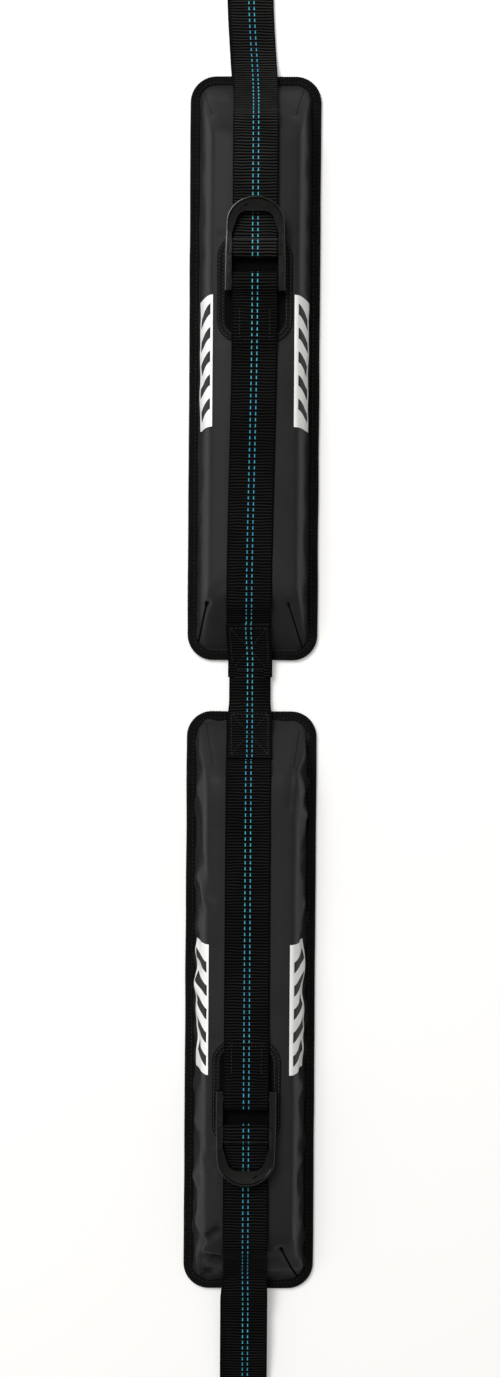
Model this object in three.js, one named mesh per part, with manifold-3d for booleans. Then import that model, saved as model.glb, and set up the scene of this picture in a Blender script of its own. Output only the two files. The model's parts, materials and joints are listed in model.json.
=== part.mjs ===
// A soft roof rack laid out flat: two foam-filled pads in one line along Y, joined by a short strap.
// Each pad carries a ladder-lock buckle, and a load strap runs out over its outer end to a tied roll.
// Millimetres, +Z up. The origin lies on the ground, midway between the pads.
import * as THREE from 'three';
import { mergeVertices } from 'three/addons/utils/BufferGeometryUtils.js';
import Module from 'manifold-3d';

const wasm = await Module();
wasm.setup();

// Room between two pieces that touch on the real rack.
const CLEARANCE = 0.3;

// Pad outline, over the edge binding.
const PAD_LENGTH = 500;
const PAD_WIDTH = 112;
const PAD_GAP = 44;
const PAD_CORNER_RADIUS = 22;
const CORNER_STEPS = 6;

// Cloths and tapes.
const BINDING_WIDTH = 8;
const BINDING_THICKNESS = 1;
const BINDING_ROUNDING = 0.5;
const SHEET_THICKNESS = 1;
const SHEET_RISE_RUN = 3;
const COVER_THICKNESS = 1;

// The pad's form above its foot: steep side walls, sloping ends, a round shoulder and a low crown.
const PAD_HEIGHT = 47;
const CROWN_RISE = 3;
const CROWN_MARGIN = 1;
const CROWN_END_RUN = 14;
const SHOULDER_RADIUS = 9;
const SHOULDER_STEPS = 4;
const HEM_HEIGHT = 5.4;
const HEM_INSET = 2.8;
const SIDE_LEAN = 3.2;
const END_RUN = 46;
const END_FULLNESS = 0.06;
const PAD_TOP_RADIUS = 9;

// How far the straps of the right pad and of the gap lie off the pads' middle line.
const RIGHT_STRAP_OFFSET = 2.7;
const JOIN_OFFSET = 2.7;

// Foam core, inside the cover.
const FOAM_CLEARANCE = 0.5;

// Printed panels on the long side walls.
const PANEL_LENGTH = 110;
const PANEL_THICKNESS = 0.3;
const PANEL_BORDER = 7;
const PANEL_BAR_COUNT = 5;
const PANEL_BAR_WIDTH = 9;
const PANEL_BAR_SLANT = 8;

// Webbing.
const WEBBING_WIDTH = 38;
const WEBBING_THICKNESS = 1.8;

// Joining strap between the pads, and the pad straps' ends beneath it, measured from the middle.
const JOIN_REACH_LEFT = 52.5;
const JOIN_REACH_RIGHT = 61;
const JOIN_HEIGHT = 7;
const JOIN_LIFT_OFF = 50;
const JOIN_FLAT_SHARE = 0.3;
const JOIN_RISE_SHARE = 0.62;
const LEFT_PAD_STRAP_START = 7.5;
const RIGHT_PAD_STRAP_START = 23;
const CURVE_STEPS = 8;

// Buckle patch: a little narrower than the pad's top, and measured outward from the anchor bar.
const PATCH_SIDE_MARGIN = 1.2;
const PATCH_INNER_REACH = 48;
const PATCH_PAST_WRAP = 2;
const PATCH_CORNER_RADIUS = 19;
const PATCH_THICKNESS = 1;
const PATCH_STEP_RUN = 5;

// Sewn part of the pad strap, measured inward from the anchor bar.
const FOLD_REACH = 46;
const FOLD_STEP_START = 56;
const FOLD_STEP_END = 48.5;
const RAMP_REACH = 12;

// Ladder-lock buckle, measured outward from the anchor bar.
const LEFT_ANCHOR_TO_END = 187.4;
const RIGHT_ANCHOR_TO_END = 177.4;
const RAIL_THICKNESS = 5.6;
const RAIL_HEIGHT = 8;
const RAIL_CLEARANCE = 0.4;
const NOSE_REACH = 7.2;
const NOSE_RISE = 2.8;
const NOSE_CHAMFER_START = 1.5;
const ANCHOR_BAR_RADIUS = 3.5;
const ANCHOR_WRAP_SLACK = 1.9;
const ANCHOR_WRAP_FROM = 1.35;
const ANCHOR_WRAP_TO = -1;
const MIDDLE_BAR_START = 22.9;
const MIDDLE_BAR_WIDTH = 11.7;
const MIDDLE_BAR_HEIGHT = 5.5;
const MIDDLE_BAR_ROUNDING = 1;
const LOOP_CENTRE = 45;
const LOOP_RIM = 3;
const LOOP_FLANGE_DROP = 1.8;
const LOOP_FLANGE_THICKNESS = 3.4;
const FINGER_SHOULDER = 39;
const FINGER_SHOULDER_INSET = 1;
const FINGER_NECK_FLARE = 1;
const FINGER_NECK_END = 50;
const FINGER_END = 57.9;
const FINGER_HALF_WIDTH = 12.6;
const FINGER_FLAT_SHARE = 0.45;
const LOOP_RISE = 4;
const LOOP_RISE_START = 40;
const ARC_SEGMENTS = 12;
const CORNER_SEGMENTS = 4;
const BAR_SIDES = 20;
const MERGE_DEPTH = 1;

// Load strap: where its pieces meet, how it leaves the pad, and where it ends.
const LEG_START = 30;
const WRAP_END = 40;
const WRAP_RADIUS = 1.8;
const WRAP_FOOT_RADIUS = 2.8;
const WRAP_STEPS = 3;
const DESCENT_RUN = 24;
const DESCENT_PULL = 14;
const EDGE_PULL = 8;
const EDGE_SLOPE = 0.36;
const LEFT_RIDE_HEIGHT = 0;
const RIGHT_RIDE_HEIGHT = 10;
const TAIL_REACH = 90;

// Rolled length of the load strap, standing on its edge past the pad's end.
const ROLL_DISTANCE = 134;
const ROLL_ENTRY_RUN = 16;
const ROLL_RADIUS = 32;
const ROLL_HOLE_RADIUS = 9;
const ROLL_STEPS_PER_TURN = 20;
const TIE_WIDTH = 8;
const TIE_THICKNESS = 1.2;

// Sizes that follow from those above.
const COVER_FOOT_INSET = BINDING_WIDTH + CLEARANCE;
const SHEET_RIM_Z = BINDING_THICKNESS + CLEARANCE;
const FLANGE_Z = SHEET_RIM_Z + SHEET_THICKNESS + CLEARANCE;
const FOOT_Z = FLANGE_Z + COVER_THICKNESS;
const BINDING_HEIGHT = FOOT_Z + CLEARANCE + BINDING_THICKNESS;
const RIM_INSET = BINDING_THICKNESS + CLEARANCE;
const PAD_CENTRE = PAD_GAP / 2 + PAD_LENGTH / 2;
const PAD_END = PAD_GAP / 2 + PAD_LENGTH;
const FOOT_HALF_WIDTH = PAD_WIDTH / 2 - COVER_FOOT_INSET;
const CROWN_HALF_WIDTH = WEBBING_WIDTH / 2 + CROWN_MARGIN;
const SHOULDER_Z = PAD_HEIGHT - CROWN_RISE - SHOULDER_RADIUS;
const SHOULDER_INSET = HEM_INSET + SIDE_LEAN;
const TOP_HALF_WIDTH = FOOT_HALF_WIDTH - SHOULDER_INSET - SHOULDER_RADIUS;
const STRAP_LAYER = WEBBING_THICKNESS + CLEARANCE;
const PATCH_TOP = PAD_HEIGHT + CLEARANCE + PATCH_THICKNESS;
const FOLD_TOP = PATCH_TOP + STRAP_LAYER;
const RAIL_INNER = WEBBING_WIDTH / 2 + RAIL_CLEARANCE;
const BUCKLE_HALF_WIDTH = RAIL_INNER + RAIL_THICKNESS;
const ANCHOR_Z = FOLD_TOP + CLEARANCE + ANCHOR_BAR_RADIUS;
const RAIL_Z = ANCHOR_Z - RAIL_HEIGHT / 2;
const RAIL_TOP = RAIL_Z + RAIL_HEIGHT;
const MIDDLE_BAR_Z = FOLD_TOP + CLEARANCE;
const PATCH_OUTER_REACH = WRAP_END + PATCH_PAST_WRAP;
const MIDDLE_BAR_END = MIDDLE_BAR_START + MIDDLE_BAR_WIDTH;
const ROLL_CENTRE_Z = ROLL_RADIUS + CLEARANCE;

const point = (y, z) => new THREE.Vector2(y, z);

const cloth = (color, roughness) => new THREE.MeshStandardMaterial({ color, roughness, metalness: 0 });

const materials = {
  foam: cloth(0x3a3b3d, 0.95),
  coated_cloth: cloth(0x3b3b3d, 0.5),
  base_cloth: cloth(0x1d1d1f, 0.8),
  binding_tape: cloth(0x0d0d0c, 0.85),
  webbing: cloth(0x101010, 0.8),
  patch_cloth: cloth(0x121212, 0.85),
  print: cloth(0xf4f4f2, 0.5),
  plastic: cloth(0x161616, 0.4),
  tie_tape: cloth(0x141414, 0.9),
};

// A closed mesh from points [x, y, z] and triangles of their numbers.
function meshGeometry(points, triangles) {
  const geometry = new THREE.BufferGeometry();
  geometry.setAttribute('position', new THREE.Float32BufferAttribute(points.flat(), 3));
  geometry.setIndex(triangles.flat());
  geometry.computeVertexNormals();
  return geometry;
}

// A rounded rectangle about the pad's centre, counter-clockwise from above.
function contour({ halfWidth, halfLength, radius, z }) {
  const corners = [[1, 1], [-1, 1], [-1, -1], [1, -1]];
  return corners.flatMap(([signX, signY], quarter) => {
    const points = [];
    for (let step = 0; step <= CORNER_STEPS; step++) {
      const angle = (quarter + step / CORNER_STEPS) * Math.PI / 2;
      const x = signX * (halfWidth - radius) + radius * Math.cos(angle);
      const y = signY * (halfLength - radius) + radius * Math.sin(angle);
      points.push([x, PAD_CENTRE + y, z]);
    }
    return points;
  });
}

// Contours joined from the top down. They close on themselves as a ring, or with a flat cap at each end.
function stackedContours(levels, isRing = false) {
  const rings = levels.map(contour);
  const count = rings[0].length;
  const points = rings.flat();
  const triangles = [];
  const joins = isRing ? levels.length : levels.length - 1;
  for (let level = 0; level < joins; level++) {
    const upper = level * count;
    const lower = ((level + 1) % levels.length) * count;
    for (let index = 0; index < count; index++) {
      const next = (index + 1) % count;
      triangles.push([upper + index, lower + index, lower + next]);
      triangles.push([upper + index, lower + next, upper + next]);
    }
  }
  if (!isRing) {
    const last = points.length - count;
    const capCentres = [levels[0].z, levels.at(-1).z].map((z) => points.push([0, PAD_CENTRE, z]) - 1);
    for (let index = 0; index < count; index++) {
      const next = (index + 1) % count;
      triangles.push([capCentres[0], index, next]);
      triangles.push([capCentres[1], last + next, last + index]);
    }
  }
  return meshGeometry(points, triangles);
}

// A level of the pad, given by how far it lies inside the binding's outer edge.
const inset = (distance, z) => ({
  halfWidth: PAD_WIDTH / 2 - distance,
  halfLength: PAD_LENGTH / 2 - distance,
  radius: PAD_CORNER_RADIUS - distance,
  z,
});

// The cover's outer form from crown to foot: height, and how far sides and ends lie inside the foot.
function coverStations() {
  const stations = [{ z: PAD_HEIGHT, side: FOOT_HALF_WIDTH - CROWN_HALF_WIDTH, end: END_RUN + CROWN_END_RUN }];
  const endStart = endInset(SHOULDER_Z);
  for (let step = 0; step <= SHOULDER_STEPS; step++) {
    const angle = (1 - step / SHOULDER_STEPS) * Math.PI / 2;
    stations.push({
      z: SHOULDER_Z + SHOULDER_RADIUS * Math.sin(angle),
      side: SHOULDER_INSET + SHOULDER_RADIUS * (1 - Math.cos(angle)),
      end: endStart + (END_RUN - endStart) * (1 - Math.cos(angle)),
    });
  }
  const hemZ = FOOT_Z + HEM_HEIGHT;
  const middleZ = (hemZ + SHOULDER_Z) / 2;
  stations.push({ z: middleZ, side: HEM_INSET + SIDE_LEAN / 2, end: endInset(middleZ) });
  stations.push({ z: hemZ, side: HEM_INSET, end: endInset(hemZ) });
  stations.push({ z: FOOT_Z, side: 0, end: 0 });
  return stations;
}

// The sloping end of the pad: how far it lies inside the foot at a height, a little full of straight.
function endInset(z) {
  const share = (z - FOOT_Z) / (PAD_HEIGHT - CROWN_RISE - FOOT_Z);
  return END_RUN * (share - END_FULLNESS * Math.sin(Math.PI * share));
}

// The pad's form moved inward by the same amount all round.
function padLevels(inward) {
  return coverStations().map(({ z, side, end }) => ({
    halfWidth: FOOT_HALF_WIDTH - side - inward,
    halfLength: PAD_LENGTH / 2 - COVER_FOOT_INSET - end - inward,
    radius: z === FOOT_Z ? PAD_CORNER_RADIUS - COVER_FOOT_INSET : PAD_TOP_RADIUS,
    z: z === FOOT_Z ? z : z - inward,
  }));
}

function foamCore() {
  const inward = COVER_THICKNESS + FOAM_CLEARANCE;
  const foot = COVER_FOOT_INSET + inward;
  const lowest = SHEET_THICKNESS + CLEARANCE;
  const clearOfRise = foot + SHEET_RISE_RUN;
  const walls = padLevels(inward).slice(0, -1);
  const bottom = [inset(foot, SHEET_RIM_Z + SHEET_THICKNESS + FOAM_CLEARANCE), inset(clearOfRise, lowest)];
  return stackedContours([...walls, ...bottom]);
}

function cover() {
  const outside = padLevels(0);
  const inside = padLevels(COVER_THICKNESS).slice(0, -1).reverse();
  const innerFoot = inset(COVER_FOOT_INSET + COVER_THICKNESS, FLANGE_Z);
  const flange = [inset(RIM_INSET, FOOT_Z), inset(RIM_INSET, FLANGE_Z)];
  return stackedContours([...outside, ...flange, innerFoot, ...inside]);
}

function baseSheet() {
  const rise = COVER_FOOT_INSET + SHEET_RISE_RUN;
  const top = [inset(rise, SHEET_THICKNESS), inset(COVER_FOOT_INSET, SHEET_RIM_Z + SHEET_THICKNESS),
    inset(RIM_INSET, SHEET_RIM_Z + SHEET_THICKNESS)];
  const underside = [inset(RIM_INSET, SHEET_RIM_Z), inset(COVER_FOOT_INSET, SHEET_RIM_Z), inset(rise, 0)];
  return stackedContours([...top, ...underside]);
}

// Tape folded round the pad's edge, open towards the pad.
function edgeBinding() {
  const upperLegZ = BINDING_HEIGHT - BINDING_THICKNESS;
  return stackedContours([
    inset(BINDING_WIDTH, BINDING_HEIGHT), inset(BINDING_ROUNDING, BINDING_HEIGHT),
    inset(0, BINDING_HEIGHT - BINDING_ROUNDING), inset(0, BINDING_ROUNDING), inset(BINDING_ROUNDING, 0),
    inset(BINDING_WIDTH, 0), inset(BINDING_WIDTH, BINDING_THICKNESS),
    inset(BINDING_THICKNESS, BINDING_THICKNESS), inset(BINDING_THICKNESS, upperLegZ),
    inset(BINDING_WIDTH, upperLegZ),
  ], true);
}

// Points of a path moved to its left, seen with Y to the right and Z up.
function offsetPath(path, distance) {
  return path.map((place, index) => {
    const before = path[index - 1] ?? place.clone().multiplyScalar(2).sub(path[index + 1]);
    const after = path[index + 1] ?? place.clone().multiplyScalar(2).sub(path[index - 1]);
    const arriving = place.clone().sub(before).normalize();
    const leaving = after.clone().sub(place).normalize();
    const mitre = arriving.clone().add(leaving).normalize();
    const left = point(-mitre.y, mitre.x);
    return place.clone().addScaledVector(left, distance / mitre.dot(leaving));
  });
}

// A band of webbing. Its face follows the path, and its thickness lies on the path's left.
function band(path, { width = WEBBING_WIDTH, thickness = WEBBING_THICKNESS } = {}) {
  const side = width / 2;
  const back = offsetPath(path, thickness);
  const points = path.flatMap((face, index) => [
    [-side, face.x, face.y], [side, face.x, face.y],
    [side, back[index].x, back[index].y], [-side, back[index].x, back[index].y],
  ]);
  const triangles = [];
  for (let first = 0; first < points.length - 4; first += 4) {
    for (let corner = 0; corner < 4; corner++) {
      const a = first + corner;
      const b = first + (corner + 1) % 4;
      triangles.push([a, a + 4, b + 4], [a, b + 4, b]);
    }
  }
  const last = points.length - 4;
  triangles.push([0, 1, 2], [0, 2, 3], [last, last + 2, last + 1], [last, last + 3, last + 2]);
  return meshGeometry(points, triangles);
}

const curve = (start, startControl, endControl, end, steps = CURVE_STEPS) =>
  new THREE.CubicBezierCurve(start, startControl, endControl, end).getPoints(steps);

// An elliptical arc, with its angles in quarter turns from +Y towards +Z.
function arc(centre, radiusY, radiusZ, fromQuarter, toQuarter, steps) {
  return Array.from({ length: steps + 1 }, (_, step) => {
    const angle = (fromQuarter + (toQuarter - fromQuarter) * step / steps) * Math.PI / 2;
    return point(centre.x + radiusY * Math.cos(angle), centre.y + radiusZ * Math.sin(angle));
  });
}

// The part of a path that lies inward of a place along Y.
function cutPath(path, end) {
  const past = path.findIndex((place) => place.x > end);
  const share = (end - path[past - 1].x) / (path[past].x - path[past - 1].x);
  return [...path.slice(0, past), path[past - 1].clone().lerp(path[past], share)];
}

// The pad's inner end along its middle line, from the foot up to the crown.
function innerSlope() {
  const foot = PAD_GAP / 2 + COVER_FOOT_INSET;
  return coverStations().reverse().map(({ z, end }) => point(foot + end, z));
}

// The face that both pad strap and joining strap follow: from the middle of the gap up to the crown.
function joinPath() {
  const slope = offsetPath(innerSlope(), CLEARANCE);
  const upper = slope.filter((place) => place.x > JOIN_LIFT_OFF);
  const next = slope[slope.length - upper.length - 1];
  const share = (JOIN_LIFT_OFF - next.x) / (upper[0].x - next.x);
  const liftOff = next.clone().lerp(upper[0], share);
  const middle = point(0, JOIN_HEIGHT);
  const lowControl = point(JOIN_LIFT_OFF * JOIN_FLAT_SHARE, JOIN_HEIGHT);
  const highControl = point(JOIN_LIFT_OFF * JOIN_RISE_SHARE, JOIN_HEIGHT);
  return [...curve(middle, lowControl, highControl, liftOff), ...upper];
}

function joiningStrap() {
  const face = offsetPath(joinPath(), STRAP_LAYER);
  const left = cutPath(face, JOIN_REACH_LEFT);
  const right = cutPath(face, JOIN_REACH_RIGHT).map(({ x, y }) => point(-x, y));
  return band([...right.reverse(), ...left.slice(1)]);
}

function padStrap(anchor, start) {
  const along = joinPath();
  const first = along.findIndex((place) => place.x > start);
  const share = (start - along[first - 1].x) / (along[first].x - along[first - 1].x);
  const begin = along[first - 1].clone().lerp(along[first], share);
  const crownZ = PAD_HEIGHT + CLEARANCE;
  const upperZ = FOLD_TOP + CLEARANCE;
  const wrapDepth = ANCHOR_BAR_RADIUS + CLEARANCE;
  const sewn = [
    point(anchor - FOLD_STEP_START, crownZ), point(anchor - FOLD_STEP_END, upperZ),
    point(anchor - RAMP_REACH, upperZ),
  ];
  const centre = point(anchor, ANCHOR_Z);
  const wrap = arc(centre, wrapDepth + ANCHOR_WRAP_SLACK, wrapDepth, ANCHOR_WRAP_FROM, ANCHOR_WRAP_TO,
    CURVE_STEPS);
  const underside = point(anchor - FOLD_REACH, FOLD_TOP);
  return band([begin, ...along.slice(first), ...sewn, ...wrap, underside]);
}

function toSolid(geometry) {
  const bare = geometry.clone();
  bare.deleteAttribute('normal');
  bare.deleteAttribute('uv');
  const merged = mergeVertices(bare);
  return new wasm.Manifold(new wasm.Mesh({
    numProp: 3,
    vertProperties: new Float32Array(merged.attributes.position.array),
    triVerts: new Uint32Array(merged.index.array),
  }));
}

function fromSolid(solid) {
  const { vertProperties, triVerts } = solid.getMesh();
  const geometry = new THREE.BufferGeometry();
  geometry.setAttribute('position', new THREE.BufferAttribute(vertProperties, 3));
  geometry.setIndex(new THREE.BufferAttribute(triVerts, 1));
  geometry.computeVertexNormals();
  return geometry;
}

// A plan shape in X and Y, raised between two heights.
function raised(shape, low, high, curveSegments = ARC_SEGMENTS) {
  const geometry = new THREE.ExtrudeGeometry(shape, { depth: high - low, bevelEnabled: false, curveSegments });
  return toSolid(geometry.translate(0, 0, low));
}

// A side-view shape in Y and Z, drawn out between two places along X.
function drawnOut(shape, from, to) {
  const geometry = new THREE.ExtrudeGeometry(shape, {
    depth: to - from, bevelEnabled: false, curveSegments: CORNER_SEGMENTS,
  });
  const turn = new THREE.Matrix4().makeBasis(
    new THREE.Vector3(0, 1, 0), new THREE.Vector3(0, 0, 1), new THREE.Vector3(1, 0, 0),
  );
  return toSolid(geometry.translate(0, 0, from).applyMatrix4(turn));
}

// The crown's height at a distance from the pad's middle line.
function crownHeight(x) {
  const past = Math.max(Math.abs(x) - CROWN_HALF_WIDTH, 0);
  return PAD_HEIGHT - CROWN_RISE * past / (TOP_HALF_WIDTH - CROWN_HALF_WIDTH);
}

function roundedPlan(left, right, low, high, radius) {
  const shape = new THREE.Shape();
  shape.absarc(right - radius, high - radius, radius, 0, Math.PI / 2, false);
  shape.absarc(left + radius, high - radius, radius, Math.PI / 2, Math.PI, false);
  shape.absarc(left + radius, low + radius, radius, Math.PI, Math.PI * 1.5, false);
  shape.absarc(right - radius, low + radius, radius, Math.PI * 1.5, Math.PI * 2, false);
  return shape;
}

// A patch that follows the crown across the pad, with its corners rounded in plan.
function bucklePatch(anchor, offset) {
  const half = TOP_HALF_WIDTH - Math.abs(offset) - PATCH_SIDE_MARGIN;
  const beyond = half + MERGE_DEPTH;
  const across = [offset - beyond, -CROWN_HALF_WIDTH, CROWN_HALF_WIDTH, offset + beyond];
  const lower = across.map((x) => point(x, crownHeight(x) + CLEARANCE));
  const upper = lower.map(({ x, y }) => point(x, y + PATCH_THICKNESS)).reverse();
  const low = anchor - PATCH_INNER_REACH;
  const high = anchor + PATCH_OUTER_REACH;
  const section = new THREE.ExtrudeGeometry(new THREE.Shape([...lower, ...upper]), {
    depth: high - low + 2 * MERGE_DEPTH, bevelEnabled: false,
  });
  section.rotateX(Math.PI / 2).translate(0, high + MERGE_DEPTH, 0);
  const plan = roundedPlan(offset - half, offset + half, low, high, PATCH_CORNER_RADIUS);
  return fromSolid(toSolid(section).intersect(raised(plan, 0, PATCH_TOP + MERGE_DEPTH)));
}

// The finger opening inside the buckle's loop, narrowing from the middle bar outward.
function fingerOpening() {
  const shape = new THREE.Shape();
  const shoulderWidth = RAIL_INNER - FINGER_SHOULDER_INSET;
  const neckWidth = FINGER_HALF_WIDTH + FINGER_NECK_FLARE;
  const corner = FINGER_HALF_WIDTH * FINGER_FLAT_SHARE;
  const wrapRoom = MIDDLE_BAR_END + STRAP_LAYER + 2 * CLEARANCE;
  shape.moveTo(-RAIL_INNER, wrapRoom);
  shape.lineTo(-RAIL_INNER, MIDDLE_BAR_END - 2 * MERGE_DEPTH);
  shape.lineTo(RAIL_INNER, MIDDLE_BAR_END - 2 * MERGE_DEPTH);
  shape.lineTo(RAIL_INNER, wrapRoom);
  shape.lineTo(shoulderWidth, FINGER_SHOULDER);
  shape.quadraticCurveTo(neckWidth, LOOP_CENTRE, FINGER_HALF_WIDTH, FINGER_NECK_END);
  shape.quadraticCurveTo(FINGER_HALF_WIDTH, FINGER_END, corner, FINGER_END);
  shape.lineTo(-corner, FINGER_END);
  shape.quadraticCurveTo(-FINGER_HALF_WIDTH, FINGER_END, -FINGER_HALF_WIDTH, FINGER_NECK_END);
  shape.quadraticCurveTo(-neckWidth, LOOP_CENTRE, -shoulderWidth, FINGER_SHOULDER);
  return shape;
}

// A plan outline of the buckle: straight sides that start at a place along Y, and a round end.
function loopOutline(halfWidth, start, narrow = halfWidth, narrowEnd = LOOP_CENTRE) {
  const shape = new THREE.Shape();
  shape.moveTo(-narrow, start);
  shape.lineTo(narrow, start);
  shape.lineTo(narrow, narrowEnd);
  shape.lineTo(halfWidth, LOOP_CENTRE);
  shape.absarc(0, LOOP_CENTRE, halfWidth, 0, Math.PI, false);
  shape.lineTo(-narrow, narrowEnd);
  return shape;
}

// One moulding: two side rails, an anchor bar, a middle bar and a flanged finger loop that tips up.
function buckle(anchor) {
  const outer = raised(loopOutline(BUCKLE_HALF_WIDTH, -NOSE_REACH), RAIL_Z, RAIL_TOP);
  const innerPlan = loopOutline(BUCKLE_HALF_WIDTH - LOOP_RIM, -NOSE_REACH - MERGE_DEPTH, RAIL_INNER,
    LOOP_RISE_START);
  const rails = outer.subtract(raised(innerPlan, RAIL_Z - MERGE_DEPTH, RAIL_TOP + MERGE_DEPTH));
  const flangeTop = RAIL_TOP - LOOP_FLANGE_DROP;
  const flangeLow = flangeTop - LOOP_FLANGE_THICKNESS;
  const flange = raised(loopOutline(BUCKLE_HALF_WIDTH - LOOP_RIM / 2, MIDDLE_BAR_END - MERGE_DEPTH),
    flangeLow, flangeTop)
    .subtract(raised(fingerOpening(), flangeLow - MERGE_DEPTH, flangeTop + MERGE_DEPTH));
  const barReach = RAIL_INNER + RAIL_THICKNESS / 2;
  const barPlan = roundedPlan(MIDDLE_BAR_START, MIDDLE_BAR_END, MIDDLE_BAR_Z,
    MIDDLE_BAR_Z + MIDDLE_BAR_HEIGHT, MIDDLE_BAR_ROUNDING);
  const middleBar = drawnOut(barPlan, -barReach, barReach);
  const anchorBar = toSolid(new THREE.CylinderGeometry(
    ANCHOR_BAR_RADIUS, ANCHOR_BAR_RADIUS, 2 * barReach, BAR_SIDES,
  ).rotateZ(Math.PI / 2).translate(0, 0, ANCHOR_Z));
  const chamfer = drawnOut(new THREE.Shape([
    point(-NOSE_CHAMFER_START, RAIL_Z), point(-NOSE_REACH, RAIL_Z + NOSE_RISE),
    point(-NOSE_REACH - MERGE_DEPTH, RAIL_Z + NOSE_RISE), point(-NOSE_REACH - MERGE_DEPTH, RAIL_Z - MERGE_DEPTH),
    point(-NOSE_CHAMFER_START, RAIL_Z - MERGE_DEPTH),
  ].reverse()), -BUCKLE_HALF_WIDTH - MERGE_DEPTH, BUCKLE_HALF_WIDTH + MERGE_DEPTH);
  const geometry = fromSolid(rails.add(flange).add(middleBar).add(anchorBar).subtract(chamfer));
  const places = geometry.attributes.position;
  const riseLength = LOOP_CENTRE + BUCKLE_HALF_WIDTH - LOOP_RISE_START;
  for (let index = 0; index < places.count; index++) {
    const share = Math.max(places.getY(index) - LOOP_RISE_START, 0) / riseLength;
    places.setZ(index, places.getZ(index) + LOOP_RISE * share ** 2);
  }
  return geometry.translate(0, anchor, 0);
}

// The pad's outer end along its middle line, from the crown down to the middle of the slope.
function outerSlope() {
  const foot = PAD_END - COVER_FOOT_INSET;
  return coverStations().slice(0, -2).map(({ z, end }) => point(foot - end, z));
}

// The load strap's lower face, from over the patch's edge down to the ground and into the roll.
function loadPath(anchor, rideHeight) {
  const crown = point(anchor + PATCH_OUTER_REACH + PATCH_STEP_RUN, PAD_HEIGHT);
  const onPad = offsetPath([crown, ...outerSlope()], CLEARANCE);
  const leaving = onPad.at(-1);
  const downhill = leaving.clone().sub(onPad.at(-2)).normalize();
  const edge = point(PAD_END + CLEARANCE, BINDING_HEIGHT + 2 * CLEARANCE + rideHeight);
  const shallow = point(1, -EDGE_SLOPE).normalize();
  const landing = point(PAD_END + DESCENT_RUN, CLEARANCE + rideHeight);
  const entry = point(PAD_END + ROLL_DISTANCE - ROLL_ENTRY_RUN, CLEARANCE);
  const middle = (landing.x + entry.x) / 2;
  return [
    ...onPad,
    ...curve(leaving, leaving.clone().addScaledVector(downhill, DESCENT_PULL),
      edge.clone().addScaledVector(shallow, -EDGE_PULL), edge).slice(1),
    ...curve(edge, edge.clone().addScaledVector(shallow, EDGE_PULL),
      point(landing.x - EDGE_PULL, landing.y), landing).slice(1),
    ...curve(landing, point(middle, landing.y), point(middle, entry.y), entry).slice(1),
    point(PAD_END + ROLL_DISTANCE - CLEARANCE, CLEARANCE),
  ];
}

// The load strap's lower face from a place on the patch outward.
function overPatch(anchor, rideHeight, start) {
  const patchZ = PATCH_TOP + CLEARANCE;
  return [
    point(anchor + start + CLEARANCE, patchZ), point(anchor + PATCH_OUTER_REACH + CLEARANCE, patchZ),
    ...loadPath(anchor, rideHeight),
  ];
}

function loadStrap(anchor, rideHeight) {
  return band(overPatch(anchor, rideHeight, LEG_START));
}

// The load strap's turn: in under the middle bar, up and over it, and down on its outer side.
function strapWrap(anchor) {
  const innerY = anchor + MIDDLE_BAR_START - CLEARANCE + WRAP_RADIUS;
  const outerY = anchor + MIDDLE_BAR_END + CLEARANCE - WRAP_RADIUS;
  const lowZ = MIDDLE_BAR_Z - CLEARANCE + WRAP_RADIUS;
  const highZ = MIDDLE_BAR_Z + MIDDLE_BAR_HEIGHT + CLEARANCE - WRAP_RADIUS;
  const footCentre = point(outerY + WRAP_RADIUS + WRAP_FOOT_RADIUS, MIDDLE_BAR_Z + WRAP_FOOT_RADIUS);
  const round = (y, z, from, to) => arc(point(y, z), WRAP_RADIUS, WRAP_RADIUS, from, to, WRAP_STEPS);
  return band([
    point(anchor + LEG_START, lowZ - WRAP_RADIUS),
    ...round(innerY, lowZ, 3, 2), ...round(innerY, highZ, 2, 1), ...round(outerY, highZ, 1, 0),
    ...arc(footCentre, WRAP_FOOT_RADIUS, WRAP_FOOT_RADIUS, 2, 3, WRAP_STEPS),
    point(anchor + WRAP_END, MIDDLE_BAR_Z),
  ]);
}

function strapTail(anchor, rideHeight) {
  const upper = offsetPath(overPatch(anchor, rideHeight, WRAP_END), STRAP_LAYER);
  return band(cutPath(upper, PAD_END + TAIL_REACH));
}

// The strap's remaining length as one spiral, entered along the ground.
function strapRoll() {
  const turns = (ROLL_RADIUS - ROLL_HOLE_RADIUS - WEBBING_THICKNESS) / STRAP_LAYER;
  const steps = Math.floor(turns * ROLL_STEPS_PER_TURN);
  const path = Array.from({ length: steps + 1 }, (_, step) => {
    const angle = step / ROLL_STEPS_PER_TURN * 2 * Math.PI;
    const radius = ROLL_RADIUS - STRAP_LAYER * step / ROLL_STEPS_PER_TURN;
    const y = PAD_END + ROLL_DISTANCE + radius * Math.sin(angle);
    return point(y, ROLL_CENTRE_Z - radius * Math.cos(angle));
  });
  return band(path);
}

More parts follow.
